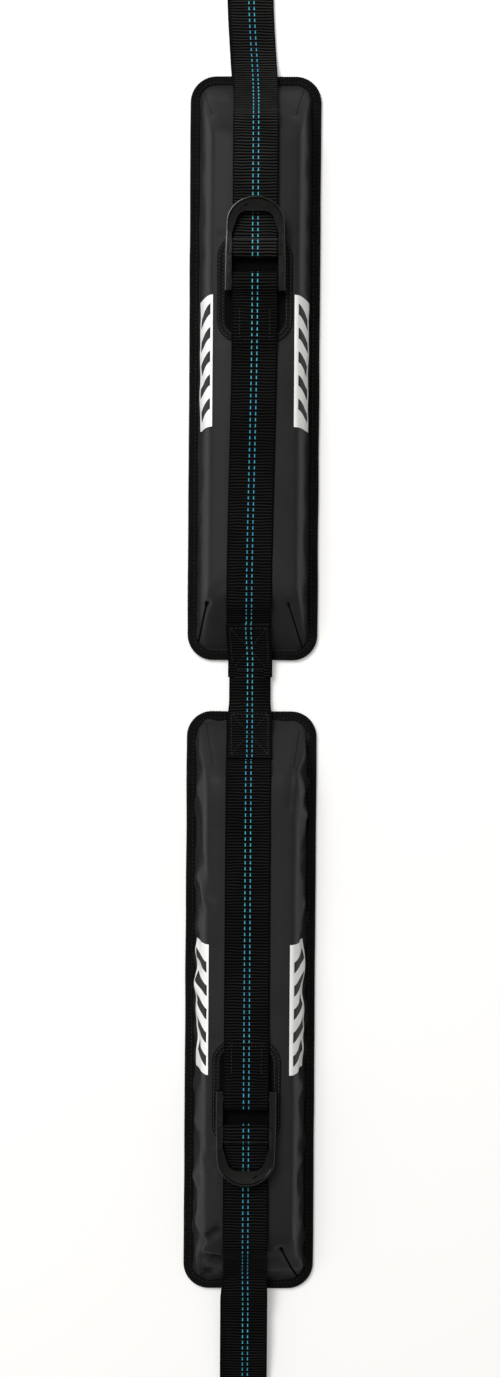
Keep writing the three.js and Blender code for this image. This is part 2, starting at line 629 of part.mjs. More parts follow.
// A closed loop of tape through the roll's hole and round its outer side.
function rollTie() {
  const centre = PAD_END + ROLL_DISTANCE;
  const side = WEBBING_WIDTH / 2 + CLEARANCE;
  const holeRoom = ROLL_HOLE_RADIUS - CLEARANCE;
  const inner = Math.sqrt(holeRoom ** 2 - (TIE_WIDTH / 2) ** 2) - TIE_THICKNESS - CLEARANCE;
  const outer = ROLL_RADIUS + CLEARANCE;
  const loop = (extra) => roundedPlan(-side - extra, side + extra, centre + inner + TIE_THICKNESS - extra,
    centre + outer + extra, TIE_THICKNESS);
  const low = ROLL_CENTRE_Z - TIE_WIDTH / 2;
  const high = ROLL_CENTRE_Z + TIE_WIDTH / 2;
  const hole = raised(loop(0), low - MERGE_DEPTH, high + MERGE_DEPTH, CORNER_SEGMENTS);
  return fromSolid(raised(loop(TIE_THICKNESS), low, high, CORNER_SEGMENTS).subtract(hole));
}

// The cover's side wall in X and Z, from the hem up over the shoulder.
function sideWall() {
  return coverStations().slice(1, -1).reverse().map(({ side, z }) => point(FOOT_HALF_WIDTH - side, z));
}

// A printed panel with slanted bars left open, following the side wall on one side of the pad.
function printedPanel(side) {
  const wall = sideWall();
  const face = offsetPath(wall, -CLEARANCE);
  const front = offsetPath(wall, -CLEARANCE - PANEL_THICKNESS);
  const section = new THREE.ExtrudeGeometry(new THREE.Shape([...front, ...face.reverse()]), {
    depth: PANEL_LENGTH, bevelEnabled: false,
  }).rotateX(Math.PI / 2).translate(0, PAD_CENTRE + PANEL_LENGTH / 2, 0);
  const low = wall[0].y + PANEL_BORDER;
  const high = SHOULDER_Z + SHOULDER_RADIUS / 2;
  const usable = PANEL_LENGTH - 2 * PANEL_BORDER - PANEL_BAR_WIDTH - PANEL_BAR_SLANT;
  let panel = toSolid(section);
  for (let bar = 0; bar < PANEL_BAR_COUNT; bar++) {
    const start = PAD_CENTRE - PANEL_LENGTH / 2 + PANEL_BORDER + usable * bar / (PANEL_BAR_COUNT - 1);
    const shape = new THREE.Shape([
      point(start, low), point(start + PANEL_BAR_WIDTH, low),
      point(start + PANEL_BAR_WIDTH + PANEL_BAR_SLANT, high), point(start + PANEL_BAR_SLANT, high),
    ]);
    panel = panel.subtract(drawnOut(shape, 0, PAD_WIDTH));
  }
  const geometry = fromSolid(panel);
  return side > 0 ? geometry : geometry.rotateZ(Math.PI).translate(0, 2 * PAD_CENTRE, 0);
}

function piece(name, geometry, material) {
  const mesh = new THREE.Mesh(geometry, material);
  mesh.name = name;
  return mesh;
}

// One pad with its straps and buckle, running out along +Y.
function rackSide(name, { anchorToEnd, padStrapStart, rideHeight, strapOffset, frontSide }) {
  const anchor = PAD_END - anchorToEnd;
  const pad = new THREE.Group();
  pad.add(
    piece(`${name}_foam_core`, foamCore(), materials.foam),
    piece(`${name}_cover`, cover(), materials.coated_cloth),
    piece(`${name}_base_sheet`, baseSheet(), materials.base_cloth),
    piece(`${name}_edge_binding`, edgeBinding(), materials.binding_tape),
    piece(`${name}_front_panel`, printedPanel(frontSide), materials.print),
    piece(`${name}_rear_panel`, printedPanel(-frontSide), materials.print),
    piece(`${name}_buckle_patch`, bucklePatch(anchor, strapOffset), materials.patch_cloth),
  );
  const straps = new THREE.Group();
  straps.position.x = strapOffset;
  straps.add(
    piece(`${name}_pad_strap`, padStrap(anchor, padStrapStart), materials.webbing),
    piece(`${name}_buckle`, buckle(anchor), materials.plastic),
    piece(`${name}_load_strap`, loadStrap(anchor, rideHeight), materials.webbing),
    piece(`${name}_strap_wrap`, strapWrap(anchor), materials.webbing),
    piece(`${name}_strap_tail`, strapTail(anchor, rideHeight), materials.webbing),
    piece(`${name}_strap_roll`, strapRoll(), materials.webbing),
    piece(`${name}_roll_tie`, rollTie(), materials.tie_tape),
  );
  const side = new THREE.Group();
  return side.add(pad, straps);
}

const rack = new THREE.Group();
const left = rackSide('left', {
  anchorToEnd: LEFT_ANCHOR_TO_END, padStrapStart: LEFT_PAD_STRAP_START, rideHeight: LEFT_RIDE_HEIGHT,
  strapOffset: 0, frontSide: -1,
});
const right = rackSide('right', {
  anchorToEnd: RIGHT_ANCHOR_TO_END, padStrapStart: RIGHT_PAD_STRAP_START, rideHeight: RIGHT_RIDE_HEIGHT,
  strapOffset: RIGHT_STRAP_OFFSET, frontSide: 1,
});
right.rotation.z = Math.PI;
const join = piece('joining_strap', joiningStrap(), materials.webbing);
join.position.x = -JOIN_OFFSET;
rack.add(left, right, join);

export default rack;
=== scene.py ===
"""Looks of a soft roof rack: two padded bars, their webbing, ladder-lock buckles and a white studio.

Metres, +Z up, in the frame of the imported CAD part. The left pad lies at +Y and the right one at -Y. A piece
is worked out for the left pad and turned half a turn about +Z for the right one.
"""

from __future__ import annotations

import json
import logging
import math
from collections.abc import Callable, Iterable
from dataclasses import dataclass, field
from enum import Enum

import bmesh
import bpy
import numpy as np
from mathutils import Matrix, Vector, noise

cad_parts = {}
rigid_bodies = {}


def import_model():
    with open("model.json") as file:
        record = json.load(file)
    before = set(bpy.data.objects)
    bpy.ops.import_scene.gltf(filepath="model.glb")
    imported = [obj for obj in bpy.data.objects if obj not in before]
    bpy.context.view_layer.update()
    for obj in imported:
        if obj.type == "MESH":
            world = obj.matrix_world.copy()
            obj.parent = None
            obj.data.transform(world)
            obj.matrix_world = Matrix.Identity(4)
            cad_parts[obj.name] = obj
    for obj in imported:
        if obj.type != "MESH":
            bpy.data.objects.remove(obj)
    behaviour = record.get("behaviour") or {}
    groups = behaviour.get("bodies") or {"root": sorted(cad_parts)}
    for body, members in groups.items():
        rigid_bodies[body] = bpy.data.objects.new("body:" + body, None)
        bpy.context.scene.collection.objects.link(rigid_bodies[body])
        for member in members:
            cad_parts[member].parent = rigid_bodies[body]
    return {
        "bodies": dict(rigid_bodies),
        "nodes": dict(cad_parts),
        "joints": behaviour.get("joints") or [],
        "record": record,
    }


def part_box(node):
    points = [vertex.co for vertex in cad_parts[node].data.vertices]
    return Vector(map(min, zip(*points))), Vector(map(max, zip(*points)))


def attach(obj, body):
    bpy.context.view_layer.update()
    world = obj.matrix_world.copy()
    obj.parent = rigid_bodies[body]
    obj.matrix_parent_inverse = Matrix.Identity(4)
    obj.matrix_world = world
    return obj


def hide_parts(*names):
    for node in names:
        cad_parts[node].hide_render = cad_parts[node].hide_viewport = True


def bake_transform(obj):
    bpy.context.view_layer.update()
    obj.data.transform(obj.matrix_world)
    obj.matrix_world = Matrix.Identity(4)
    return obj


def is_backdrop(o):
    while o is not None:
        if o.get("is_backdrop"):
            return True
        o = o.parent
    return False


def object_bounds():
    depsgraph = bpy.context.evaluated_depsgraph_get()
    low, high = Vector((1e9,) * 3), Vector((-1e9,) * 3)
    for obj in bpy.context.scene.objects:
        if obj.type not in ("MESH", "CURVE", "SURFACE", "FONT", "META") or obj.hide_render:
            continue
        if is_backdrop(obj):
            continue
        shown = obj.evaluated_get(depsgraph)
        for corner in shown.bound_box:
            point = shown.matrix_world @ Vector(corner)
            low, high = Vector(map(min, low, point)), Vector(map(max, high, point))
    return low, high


log = logging.getLogger("roof_rack")

MM = 0.001
CLEARANCE = 0.3 * MM
UP = np.array([0.0, 0.0, 1.0])
WELD = 0.02 * MM
WEBBING_WIDTH = 0.038
FLAT_BINDING_WIDTH = 0.0205
WHITE = (1.0, 1.0, 1.0, 1.0)

Pair = tuple[float, float]
Colour = tuple[float, float, float, float]
Sizes = float | np.ndarray
Piece = bpy.types.Object
Socket = bpy.types.NodeSocket
Outputs = bpy.types.NodeOutputs
Group = bpy.types.NodeTree


class Side(Enum):
    """The two pads of the rack."""

    LEFT = "left"
    RIGHT = "right"

    @property
    def turn(self) -> float:
        """The sign that X and Y take on this side."""
        return 1.0 if self is Side.LEFT else -1.0

    def place(self, points: np.ndarray) -> np.ndarray:
        """Points worked out for the left pad, turned to this side."""
        return points * np.array([self.turn, self.turn, 1.0])

    def node(self, part: str) -> str:
        """The name of this side's CAD node or piece."""
        return f"{self.value}_{part}"


def smooth_step(value: Sizes, low: float, high: float) -> Sizes:
    """A soft rise from 0 at low to 1 at high."""
    share = np.clip((value - low) / (high - low), 0.0, 1.0)
    return share * share * (3.0 - 2.0 * share)


def smooth_fall(value: Sizes, low: float, high: float) -> Sizes:
    """A soft fall from 1 at low to 0 at high."""
    return 1 - smooth_step(value, low, high)


def dent(away: np.ndarray, width: float) -> np.ndarray:
    """A soft dent: 1 where away is 0, fading over a width."""
    return np.exp(-(away / width) ** 2)


def noise_at(places: np.ndarray, scale: tuple[float, ...], shift: tuple[float, ...] = (0, 0, 0)) -> np.ndarray:
    """Soft fixed noise from -1 to 1 at each place, after a scale and a shift along each axis."""
    return np.array([noise.noise(Vector(place)) for place in (places * scale + shift).tolist()])


# Modelling by hand.


def start_clean() -> None:
    """Leave edit mode and select nothing."""
    if bpy.context.object is not None and bpy.context.object.mode != "OBJECT":
        bpy.ops.object.mode_set(mode="OBJECT")
    bpy.ops.object.select_all(action="DESELECT")


def take(piece: Piece) -> None:
    """Select one piece alone and make it active."""
    start_clean()
    piece.select_set(True)
    bpy.context.view_layer.objects.active = piece


def block(name: str, low: tuple[float, ...], high: tuple[float, ...]) -> Piece:
    """Add a block between two corners, with its size and place in its mesh."""
    start_clean()
    middle = [(a + b) / 2 for a, b in zip(low, high)]
    bpy.ops.mesh.primitive_cube_add(size=1.0, location=middle)
    piece = bpy.context.object
    piece.name = name
    piece.scale = [b - a for a, b in zip(low, high)]
    bpy.ops.object.transform_apply(location=True, rotation=True, scale=True)
    return piece


def choose(piece: Piece, kind: str = "faces",
           test: Callable[[object], bool] = lambda element: True) -> None:
    """Go into edit mode and select what passes a test.

    Args:
        piece: The piece to edit.
        kind: "verts", "edges" or "faces".
        test: Says whether an element is selected.
    """
    take(piece)
    bpy.ops.object.mode_set(mode="EDIT")
    bpy.ops.mesh.select_mode(type={"verts": "VERT", "edges": "EDGE", "faces": "FACE"}[kind])
    form = bmesh.from_edit_mesh(piece.data)
    for element in [*form.verts, *form.edges, *form.faces]:
        element.select = False
    for element in getattr(form, kind):
        if test(element):
            element.select_set(True)
    form.select_flush_mode()
    bmesh.update_edit_mesh(piece.data)


def stands(edge: bmesh.types.BMEdge, past_y: float = -math.inf, height: float = 1 * MM) -> bool:
    """Whether an edge stands on end, past a place along Y."""
    first, second = (vert.co for vert in edge.verts)
    return abs(first.z - second.z) > height and min(first.y, second.y) > past_y


def round_edges(piece: Piece, test: Callable[[object], bool], offset: float, segments: int) -> None:
    """Round the edges that pass a test."""
    choose(piece, "edges", test)
    bpy.ops.mesh.bevel(offset=offset, offset_type="OFFSET", segments=segments, affect="EDGES")
    start_clean()


def apply_modifier(piece: Piece, kind: str, **settings: object) -> None:
    """Add a modifier with its settings to a piece and apply it."""
    take(piece)
    modifier = piece.modifiers.new(kind.title(), kind)
    for name, value in settings.items():
        setattr(modifier, name, value)
    bpy.ops.object.modifier_apply(modifier=modifier.name)


def round_sharp(piece: Piece, width: float, segments: int, degrees: float) -> None:
    """Round the edges sharper than an angle."""
    apply_modifier(piece, "BEVEL", width=width, segments=segments, limit_method="ANGLE",
                   angle_limit=math.radians(degrees))


def cut_across(piece: Piece, places: Iterable[float], axis: int) -> None:
    """Cut edges into a piece at places along X (0) or Y (1), so that it can bend there."""
    normal = [float(index == axis) for index in range(3)]
    for place in places:
        choose(piece)
        bpy.ops.mesh.bisect(plane_co=[place * part for part in normal], plane_no=normal)
    start_clean()


def bend_by(piece: Piece, move: Callable[[np.ndarray], np.ndarray]) -> None:
    """Move a piece's vertices by a rule, which may change the array of places that it gets."""
    places = np.zeros(len(piece.data.vertices) * 3)
    piece.data.vertices.foreach_get("co", places)
    piece.data.vertices.foreach_set("co", move(places.reshape(-1, 3)).ravel())
    piece.data.update()


def turn_outward(piece: Piece, weld: float = 0.0) -> None:
    """Turn every face outward, after welding points that are closer than a distance."""
    choose(piece, "verts")
    if weld:
        bpy.ops.mesh.remove_doubles(threshold=weld)
    bpy.ops.mesh.normals_make_consistent(inside=False)
    start_clean()


def soften(piece: Piece, degrees: float) -> None:
    """Shade a piece smooth, apart from edges sharper than an angle."""
    take(piece)
    bpy.ops.object.shade_smooth_by_angle(angle=math.radians(degrees))


def sewn_mesh(name: str, points: np.ndarray, faces: list[tuple[int, ...]],
              flat: np.ndarray | None = None) -> Piece:
    """Make a cloth piece from its points and faces.

    Args:
        name: The piece's name.
        points: Its vertices.
        faces: Vertex numbers, face by face, seen from outside.
        flat: For each vertex, its place on the flat cloth, in metres.

    Returns:
        The new piece.
    """
    mesh = bpy.data.meshes.new(name)
    mesh.from_pydata(points.tolist(), [], faces)
    if flat is not None:
        layer = mesh.uv_layers.new(name="flat_cloth")
        corners = np.zeros(len(mesh.loops), dtype=np.int64)
        mesh.loops.foreach_get("vertex_index", corners)
        layer.data.foreach_set("uv", flat[corners].astype(np.float32).ravel())
    mesh.validate()
    piece = bpy.data.objects.new(name, mesh)
    bpy.context.scene.collection.objects.link(piece)
    return piece


def wrap_faces(rings: int, around: int, closed: bool = True) -> list[tuple[int, ...]]:
    """Faces between rings of points.

    Args:
        rings: How many rings follow each other.
        around: How many points each ring has.
        closed: Whether the last ring meets the first.

    Returns:
        The faces, wound for rings that run anticlockwise about their way forward.
    """
    faces = []
    for ring in range(rings if closed else rings - 1):
        first, second = ring * around, (ring + 1) % rings * around
        for index in range(around):
            after = (index + 1) % around
            faces.append((first + index, first + after, second + after, second + index))
    return faces


# Shader trees.

Feed = float | tuple | Socket
Feeds = dict[str | int, Feed]


@dataclass
class Tree:
    """A shader node tree, with short ways to add nodes and join them."""

    nodes: Group

    def feed(self, node: bpy.types.Node, feeds: Feeds) -> None:
        """Set or link a node's inputs, by name or number."""
        for name, value in feeds.items():
            if isinstance(value, Socket):
                self.nodes.links.new(value, node.inputs[name])
            else:
                node.inputs[name].default_value = value

    def add(self, kind: str, feeds: Feeds | None = None, **settings: object) -> bpy.types.Node:
        """Add a node, make its settings and feed its inputs."""
        node = self.nodes.nodes.new(kind)
        for name, value in settings.items():
            setattr(node, name, value)
        self.feed(node, feeds or {})
        return node

    def use(self, group: Group, feeds: Feeds) -> Outputs:
        """Place a node group and give its outputs."""
        return self.add("ShaderNodeGroup", feeds, node_tree=group).outputs

    def math(self, operation: str, *values: Feed, clamp: bool = False) -> Socket:
        """The result of a sum on one to three values."""
        return self.add("ShaderNodeMath", dict(enumerate(values)), operation=operation, use_clamp=clamp).outputs[0]

    def times(self, first: Feed, second: Feed) -> Socket:
        """The product of two values."""
        return self.math("MULTIPLY", first, second)

    def vector(self, operation: str, first: Feed, second: Feed, output: str = "Vector") -> Socket:
        """The result of a sum on two vectors."""
        return self.add("ShaderNodeVectorMath", {0: first, 1: second}, operation=operation).outputs[output]

    def rise(self, value: Feed, low: Feed, high: Feed) -> Socket:
        """A soft rise from 0 at low to 1 at high."""
        feeds = {"Value": value, "From Min": low, "From Max": high}
        return self.add("ShaderNodeMapRange", feeds, interpolation_type="SMOOTHSTEP").outputs["Result"]

    def fall(self, value: Feed, low: Feed, high: Feed) -> Socket:
        """A soft fall from 1 at low to 0 at high."""
        return self.math("SUBTRACT", 1.0, self.rise(value, low, high))

    def stripes(self, place: Feed, pitch: Feed, low: float, high: float) -> Socket:
        """Soft stripes, one a pitch, that rise between two shares of the pitch from each gap's middle."""
        wave = self.math("PINGPONG", place, self.times(pitch, 0.5))
        return self.rise(wave, self.times(pitch, low), self.times(pitch, high))

    def spread(self, value: Feed, low: float, high: float) -> Socket:
        """A mask from 0 to 1 spread between two values."""
        feeds = {"Value": value, "To Min": low, "To Max": high}
        return self.add("ShaderNodeMapRange", feeds).outputs["Result"]

    def blend(self, share: Feed, first: Feed, second: Feed) -> Socket:
        """One colour passing into another by a mask."""
        return self.add("ShaderNodeMix", {0: share, 6: first, 7: second}, data_type="RGBA").outputs[2]

    def speckle(self, where: Feed, scale: Feed, detail: float = 2.0) -> Socket:
        """A soft random mask."""
        feeds = {"Vector": where, "Scale": scale, "Detail": detail}
        return self.add("ShaderNodeTexNoise", feeds).outputs["Fac"]

    def parts(self, vector: Feed) -> Outputs:
        """X, Y and Z of a vector."""
        return self.add("ShaderNodeSeparateXYZ", {0: vector}).outputs

    def relief(self, height: Feed, depth: float) -> Socket:
        """A normal bent by a height from 0 to 1 that stands for a depth in metres."""
        feeds = {"Height": height, "Distance": depth, "Strength": 1.0}
        return self.add("ShaderNodeBump", feeds).outputs["Normal"]

    def seen_directly(self) -> Socket:
        """1 where the camera looks straight at a surface, or at it in a reflection or through glass."""
        rays = self.add("ShaderNodeLightPath").outputs
        straight = self.math("MAXIMUM", rays["Is Camera Ray"], rays["Is Glossy Ray"])
        return self.math("MAXIMUM", straight, rays["Is Transmission Ray"])


def shader_group(name: str, inputs: dict[str, float | None],
                 fill: Callable[[Tree, Outputs], Feeds]) -> Group:
    """Make a shader node group.

    Args:
        name: The group's name.
        inputs: The first value of each number that goes in, or None for a vector.
        fill: Adds the nodes and gives the masks that come out, by name.

    Returns:
        The group, to place in materials.
    """
    group = bpy.data.node_groups.new(name, "ShaderNodeTree")
    for title, value in inputs.items():
        kind = "NodeSocketVector" if value is None else "NodeSocketFloat"
        socket = group.interface.new_socket(name=title, in_out="INPUT", socket_type=kind)
        if value is not None:
            socket.default_value = value
    tree = Tree(group)
    masks = fill(tree, tree.add("NodeGroupInput").outputs)
    for title in masks:
        group.interface.new_socket(name=title, in_out="OUTPUT", socket_type="NodeSocketFloat")
    tree.add("NodeGroupOutput", masks)
    return group


def fill_webbing(tree: Tree, given: Outputs) -> Feeds:
    """Crosswise ribs, fine yarns, firm selvedges and two dashed tracer lines, on flat cloth in metres."""
    weft_pitch, warp_pitch, selvedge_width = 0.0011, 0.0008, 0.0022
    line_core, line_edge = 0.0002, 0.00058
    across, along, _ = tree.parts(given["Flat"])
    drift = tree.math("SUBTRACT", tree.speckle(given["Flat"], 55.0), 0.5)
    drifted = tree.math("MULTIPLY_ADD", drift, given["Rib pitch"], along)
    rib = tree.stripes(drifted, given["Rib pitch"], 0.14, 0.46)
    weft = tree.math("SINE", tree.times(across, 2 * math.pi / weft_pitch))
    warp = tree.math("SINE", tree.times(along, 2 * math.pi / warp_pitch))
    yarn = tree.spread(tree.times(weft, warp), 0.35, 0.65)
    side = tree.math("ABSOLUTE", across)
    selvedge = tree.rise(side, tree.math("SUBTRACT", given["Half width"], selvedge_width), given["Half width"])
    off_line = tree.math("ABSOLUTE", tree.math("SUBTRACT", side, given["Tracer offset"]))
    dash = tree.stripes(along, given["Dash pitch"], 0.19, 0.27)
    relief = tree.math("MULTIPLY_ADD", yarn, 0.25, tree.times(rib, 0.75))
    return {"Height": tree.math("MAXIMUM", relief, tree.times(selvedge, 0.8)), "Rib": rib,
            "Tracer": tree.times(tree.fall(off_line, line_core, line_edge), dash), "Selvedge": selvedge}


def fill_grain(tree: Tree, given: Outputs) -> Feeds:
    """A fine moulded or coated skin: small pebbles over slow cloudy changes."""
    cells = tree.add("ShaderNodeTexVoronoi", {"Vector": given["Place"], "Scale": given["Grain scale"]})
    pebbles = tree.spread(cells.outputs["Distance"], 1.0, 0.0)
    fine = tree.speckle(given["Place"], given["Grain scale"], 3.0)
    clouds = tree.speckle(given["Place"], given["Cloud scale"], 3.0)
    return {"Height": tree.math("MULTIPLY_ADD", pebbles, 0.6, tree.times(fine, 0.4)),
            "Clouds": tree.rise(clouds, 0.3, 0.7)}


def fill_weave(tree: Tree, given: Outputs) -> Feeds:
    """A plain weave: threads that pass over and under each other."""
    first, second, third = tree.parts(given["Place"])
    turn = tree.math("DIVIDE", math.pi, given["Thread pitch"])
    one = tree.math("SINE", tree.times(tree.math("ADD", first, third), turn))
    two = tree.math("SINE", tree.times(second, turn))
    threads = tree.math("ABSOLUTE", tree.times(one, two))
    return {"Height": tree.math("POWER", threads, 0.5),
            "Lint": tree.rise(tree.speckle(given["Place"], 900.0), 0.62, 0.8)}


def fill_slit_shade(tree: Tree, given: Outputs) -> Feeds:
    """Painted shade along a sewn dart's seam or along a fold, seen from above: its strength on the line, 0 away from
    it.
    """
    flat = tree.vector("MULTIPLY", given["Place"], (1.0, 1.0, 0.0))
    run = tree.vector("SUBTRACT", given["Foot"], given["Top"])
    from_top = tree.vector("SUBTRACT", flat, given["Top"])
    ahead = tree.vector("DOT_PRODUCT", from_top, run, "Value")
    share = tree.math("DIVIDE", ahead, tree.vector("DOT_PRODUCT", run, run, "Value"), clamp=True)
    nearest = tree.add("ShaderNodeVectorMath", {0: run, "Scale": share}, operation="SCALE").outputs[0]
    away = tree.vector("DISTANCE", from_top, nearest, "Value")
    width = tree.math("MULTIPLY_ADD", tree.fall(share, 0.0, 0.12), given["Width"], given["Width"])
    return {"Slit": tree.times(tree.fall(tree.math("DIVIDE", away, width), 0.35, 1.0), given["Strength"])}


@dataclass
class Groups:
    """The node groups that several materials share, each built once."""

    webbing: Group = field(init=False)
    grain: Group = field(init=False)
    weave: Group = field(init=False)
    slit: Group = field(init=False)

    def __post_init__(self) -> None:
        """Build the groups."""
        self.webbing = shader_group("ribbed_webbing", {"Flat": None, "Rib pitch": 0.0025, "Half width": 0.019,
                                                       "Tracer offset": 0.0022, "Dash pitch": 0.005}, fill_webbing)
        self.grain = shader_group("skin_grain", {"Place": None, "Grain scale": 900.0, "Cloud scale": 20.0}, fill_grain)
        self.weave = shader_group("plain_weave", {"Place": None, "Thread pitch": 0.0008}, fill_weave)
        # The shade painted along the darts' seams and along some folds.
        self.slit = shader_group("dart_slit", {"Place": None, "Top": None, "Foot": None, "Width": 0.0006,
                                               "Strength": 1.0}, fill_slit_shade)


def gray(value: float, warmth: float = 0.0) -> Colour:
    """A near-neutral colour, warmer above zero and cooler below."""
    return (value * (1 + warmth), value, value * (1 - warmth), 1.0)


def surface(colour: Feed, roughness: Feed, gloss: Feed, normal: Feed) -> Feeds:
    """What a Principled shader gets."""
    return {"Base Color": colour, "Roughness": roughness, "Specular IOR Level": gloss, "Normal": normal}


@dataclass(frozen=True)
class Finish:
    """A material of its own name; each kind of finish paints it in its own way."""

    name: str

    def build(self, groups: Groups) -> bpy.types.Material:
        """Make the material."""
        material = bpy.data.materials.new(self.name)
        material.use_nodes = True
        tree = Tree(material.node_tree)
        shader = next(node for node in material.node_tree.nodes if node.type == "BSDF_PRINCIPLED")
        tree.feed(shader, self.paint(tree, groups, tree.add("ShaderNodeTexCoord").outputs["Object"]))
        return material

    def paint(self, tree: Tree, groups: Groups, place: Feed) -> Feeds:
        """Add the finish's nodes.

        Args:
            tree: The material's tree.
            groups: The shared node groups.
            place: The piece's own coordinates.

        Returns:
            What the Principled shader gets.
        """
        raise NotImplementedError


@dataclass(frozen=True)
class CoatedCloth(Finish):
    """Smooth semi-matt coated cloth, with painted shade along the seams where the pad's darts are sewn and along some
    folds.
    """

    darts: tuple[Dart, ...]
    low: float = 0.0190
    high: float = 0.0235

    def paint(self, tree: Tree, groups: Groups, place: Feed) -> Feeds:
        """Cloudy dark grey, painted near black and less glossy as shade along the dart seams and folds."""
        grain = tree.use(groups.grain, {"Place": place, "Grain scale": 1500.0, "Cloud scale": 16.0})
        # Painted shade: near black along each dart's seam and along the folds listed with the darts.
        slit: Feed = 0.0
        for dart in self.darts:
            one = tree.use(groups.slit, {"Place": place, "Top": (*dart.top, 0.0), "Foot": (*dart.foot, 0.0),
                                         "Width": dart.slit, "Strength": dart.shade})
            slit = tree.math("MAXIMUM", slit, one["Slit"])
        cloth = tree.blend(grain["Clouds"], gray(self.low, -0.02), gray(self.high, -0.01))
        height = tree.math("SUBTRACT", tree.times(grain["Height"], 0.06), slit)
        roughness = tree.math("MULTIPLY_ADD", slit, 0.4, tree.spread(grain["Clouds"], 0.44, 0.50))
        return surface(tree.blend(slit, cloth, gray(0.0015)), roughness, tree.spread(slit, 0.055, 0.0),
                       tree.relief(height, 0.5 * MM))


@dataclass(frozen=True)
class Webbing(Finish):
    """Ribbed black webbing with two dashed tracer lines, and a painted highlight along one fold."""

    name: str = "webbing_black"
    worn_at: float = -1.0
    ground: float = 0.0002
    ridge: float = 0.0115
    teal: Colour = (0.07, 0.48, 0.60, 1.0)
    blue: Colour = (0.05, 0.36, 0.55, 1.0)

    def paint(self, tree: Tree, groups: Groups, place: Feed) -> Feeds:
        """Lit ribs between dark grooves, a pale painted highlight along the fold, and the tracers' colour drifting."""
        flat = tree.add("ShaderNodeUVMap", {}, uv_map="flat_cloth").outputs["UV"]
        woven = tree.use(groups.webbing, {"Flat": flat})
        wear = tree.rise(tree.speckle(place, 26.0, 3.0), 0.35, 0.65)
        lit = tree.times(woven["Rib"], tree.spread(wear, 0.6, 1.0))
        lit = tree.times(lit, tree.math("SUBTRACT", 1.0, woven["Selvedge"]))
        cloth = tree.blend(lit, gray(self.ground), gray(self.ridge, 0.03))
        # Painted highlight: a pale line across the strap where it folds over the buckle's middle bar.
        fold = tree.math("ABSOLUTE", tree.math("SUBTRACT", tree.parts(flat)[1], self.worn_at))
        cloth = tree.blend(tree.fall(fold, 0.0005, 0.0014), cloth, gray(0.045, 0.02))
        yarn = tree.blend(tree.rise(tree.speckle(place, 7.0, 1.0), 0.42, 0.58), self.teal, self.blue)
        return surface(tree.blend(woven["Tracer"], cloth, yarn), tree.spread(woven["Rib"], 0.85, 0.55), 0.045,
                       tree.relief(woven["Height"], 0.45 * MM))


@dataclass(frozen=True)
class BindingTape(Finish):
    """Black grosgrain tape with close crosswise ribs."""

    name: str = "binding_black"
    rib_pitch: float = 0.002

    def paint(self, tree: Tree, groups: Groups, place: Feed) -> Feeds:
        """Ribs painted lighter than their grooves, as painted light and shade, unevenly worn, with a little lint."""
        flat = tree.add("ShaderNodeUVMap", {}, uv_map="flat_cloth").outputs["UV"]
        rib = tree.stripes(tree.parts(flat)[1], self.rib_pitch, 0.0, 0.4)
        weave = tree.use(groups.weave, {"Place": flat, "Thread pitch": 0.0006})
        worn = tree.rise(tree.speckle(place, 40.0, 3.0), 0.35, 0.7)
        # Painted light and shade: the ribs are lighter than the grooves between them.
        cloth = tree.blend(tree.times(rib, tree.spread(worn, 0.5, 1.0)), gray(0.0012), gray(0.0068))
        cloth = tree.blend(tree.times(weave["Lint"], 0.25), cloth, gray(0.06))
        height = tree.math("MULTIPLY_ADD", weave["Height"], 0.3, rib)
        return surface(cloth, tree.spread(rib, 0.9, 0.7), 0.07, tree.relief(height, 0.3 * MM))


@dataclass(frozen=True)
class WovenCloth(Finish):
    """Plain black cloth, tightly or openly woven, with grip dots where a pitch is given."""

    dark: float
    light: float
    thread_pitch: float
    depth: float = 0.25 * MM
    grip_pitch: float = 0.0
    sheen: float = 0.18

    def paint(self, tree: Tree, groups: Groups, place: Feed) -> Feeds:
        """Uneven threads, paler where the piece has a trim."""
        weave = tree.use(groups.weave, {"Place": place, "Thread pitch": self.thread_pitch})
        clouds = tree.rise(tree.speckle(place, 30.0, 3.0), 0.3, 0.7)
        trim = tree.add("ShaderNodeAttribute", {}, attribute_name="trim").outputs["Fac"]
        ridge = tree.blend(trim, gray(self.light), gray(self.light * 5.5))
        colour = tree.blend(tree.times(weave["Height"], tree.spread(clouds, 0.55, 1.0)), gray(self.dark), ridge)
        colour = tree.blend(tree.times(weave["Lint"], 0.18), colour, gray(0.07))
        height: Feed = weave["Height"]
        if self.grip_pitch:
            dots = tree.add("ShaderNodeTexVoronoi", {"Vector": place, "Scale": 1 / self.grip_pitch,
                                                     "Randomness": 0.0})
            dot = tree.fall(dots.outputs["Distance"], 0.2, 0.3)
            colour = tree.blend(dot, colour, gray(self.light * 0.7))
            height = tree.math("MAXIMUM", tree.times(height, 0.5), dot)
        return surface(colour, tree.spread(weave["Height"], 0.95, 0.75), self.sheen, tree.relief(height, self.depth))


@dataclass(frozen=True)
class MouldedPlastic(Finish):
    """Satin black moulded plastic, a little paler where its edges are worn."""

    name: str = "buckle_black"
    low: float = 0.0018
    high: float = 0.0028
    worn: float = 0.007

    def paint(self, tree: Tree, groups: Groups, place: Feed) -> Feeds:
        """A fine skin with scuffed edges."""
        grain = tree.use(groups.grain, {"Place": place, "Grain scale": 2200.0, "Cloud scale": 60.0})
        edge = tree.rise(tree.add("ShaderNodeNewGeometry").outputs["Pointiness"], 0.53, 0.62)
        scuffs = tree.rise(tree.speckle(place, 260.0, 4.0), 0.5, 0.7)
        skin = tree.blend(grain["Clouds"], gray(self.low), gray(self.high))
        return surface(tree.blend(tree.times(edge, scuffs), skin, gray(self.worn)),
                       tree.spread(grain["Clouds"], 0.10, 0.14), 0.45, tree.relief(grain["Height"], 0.02 * MM))


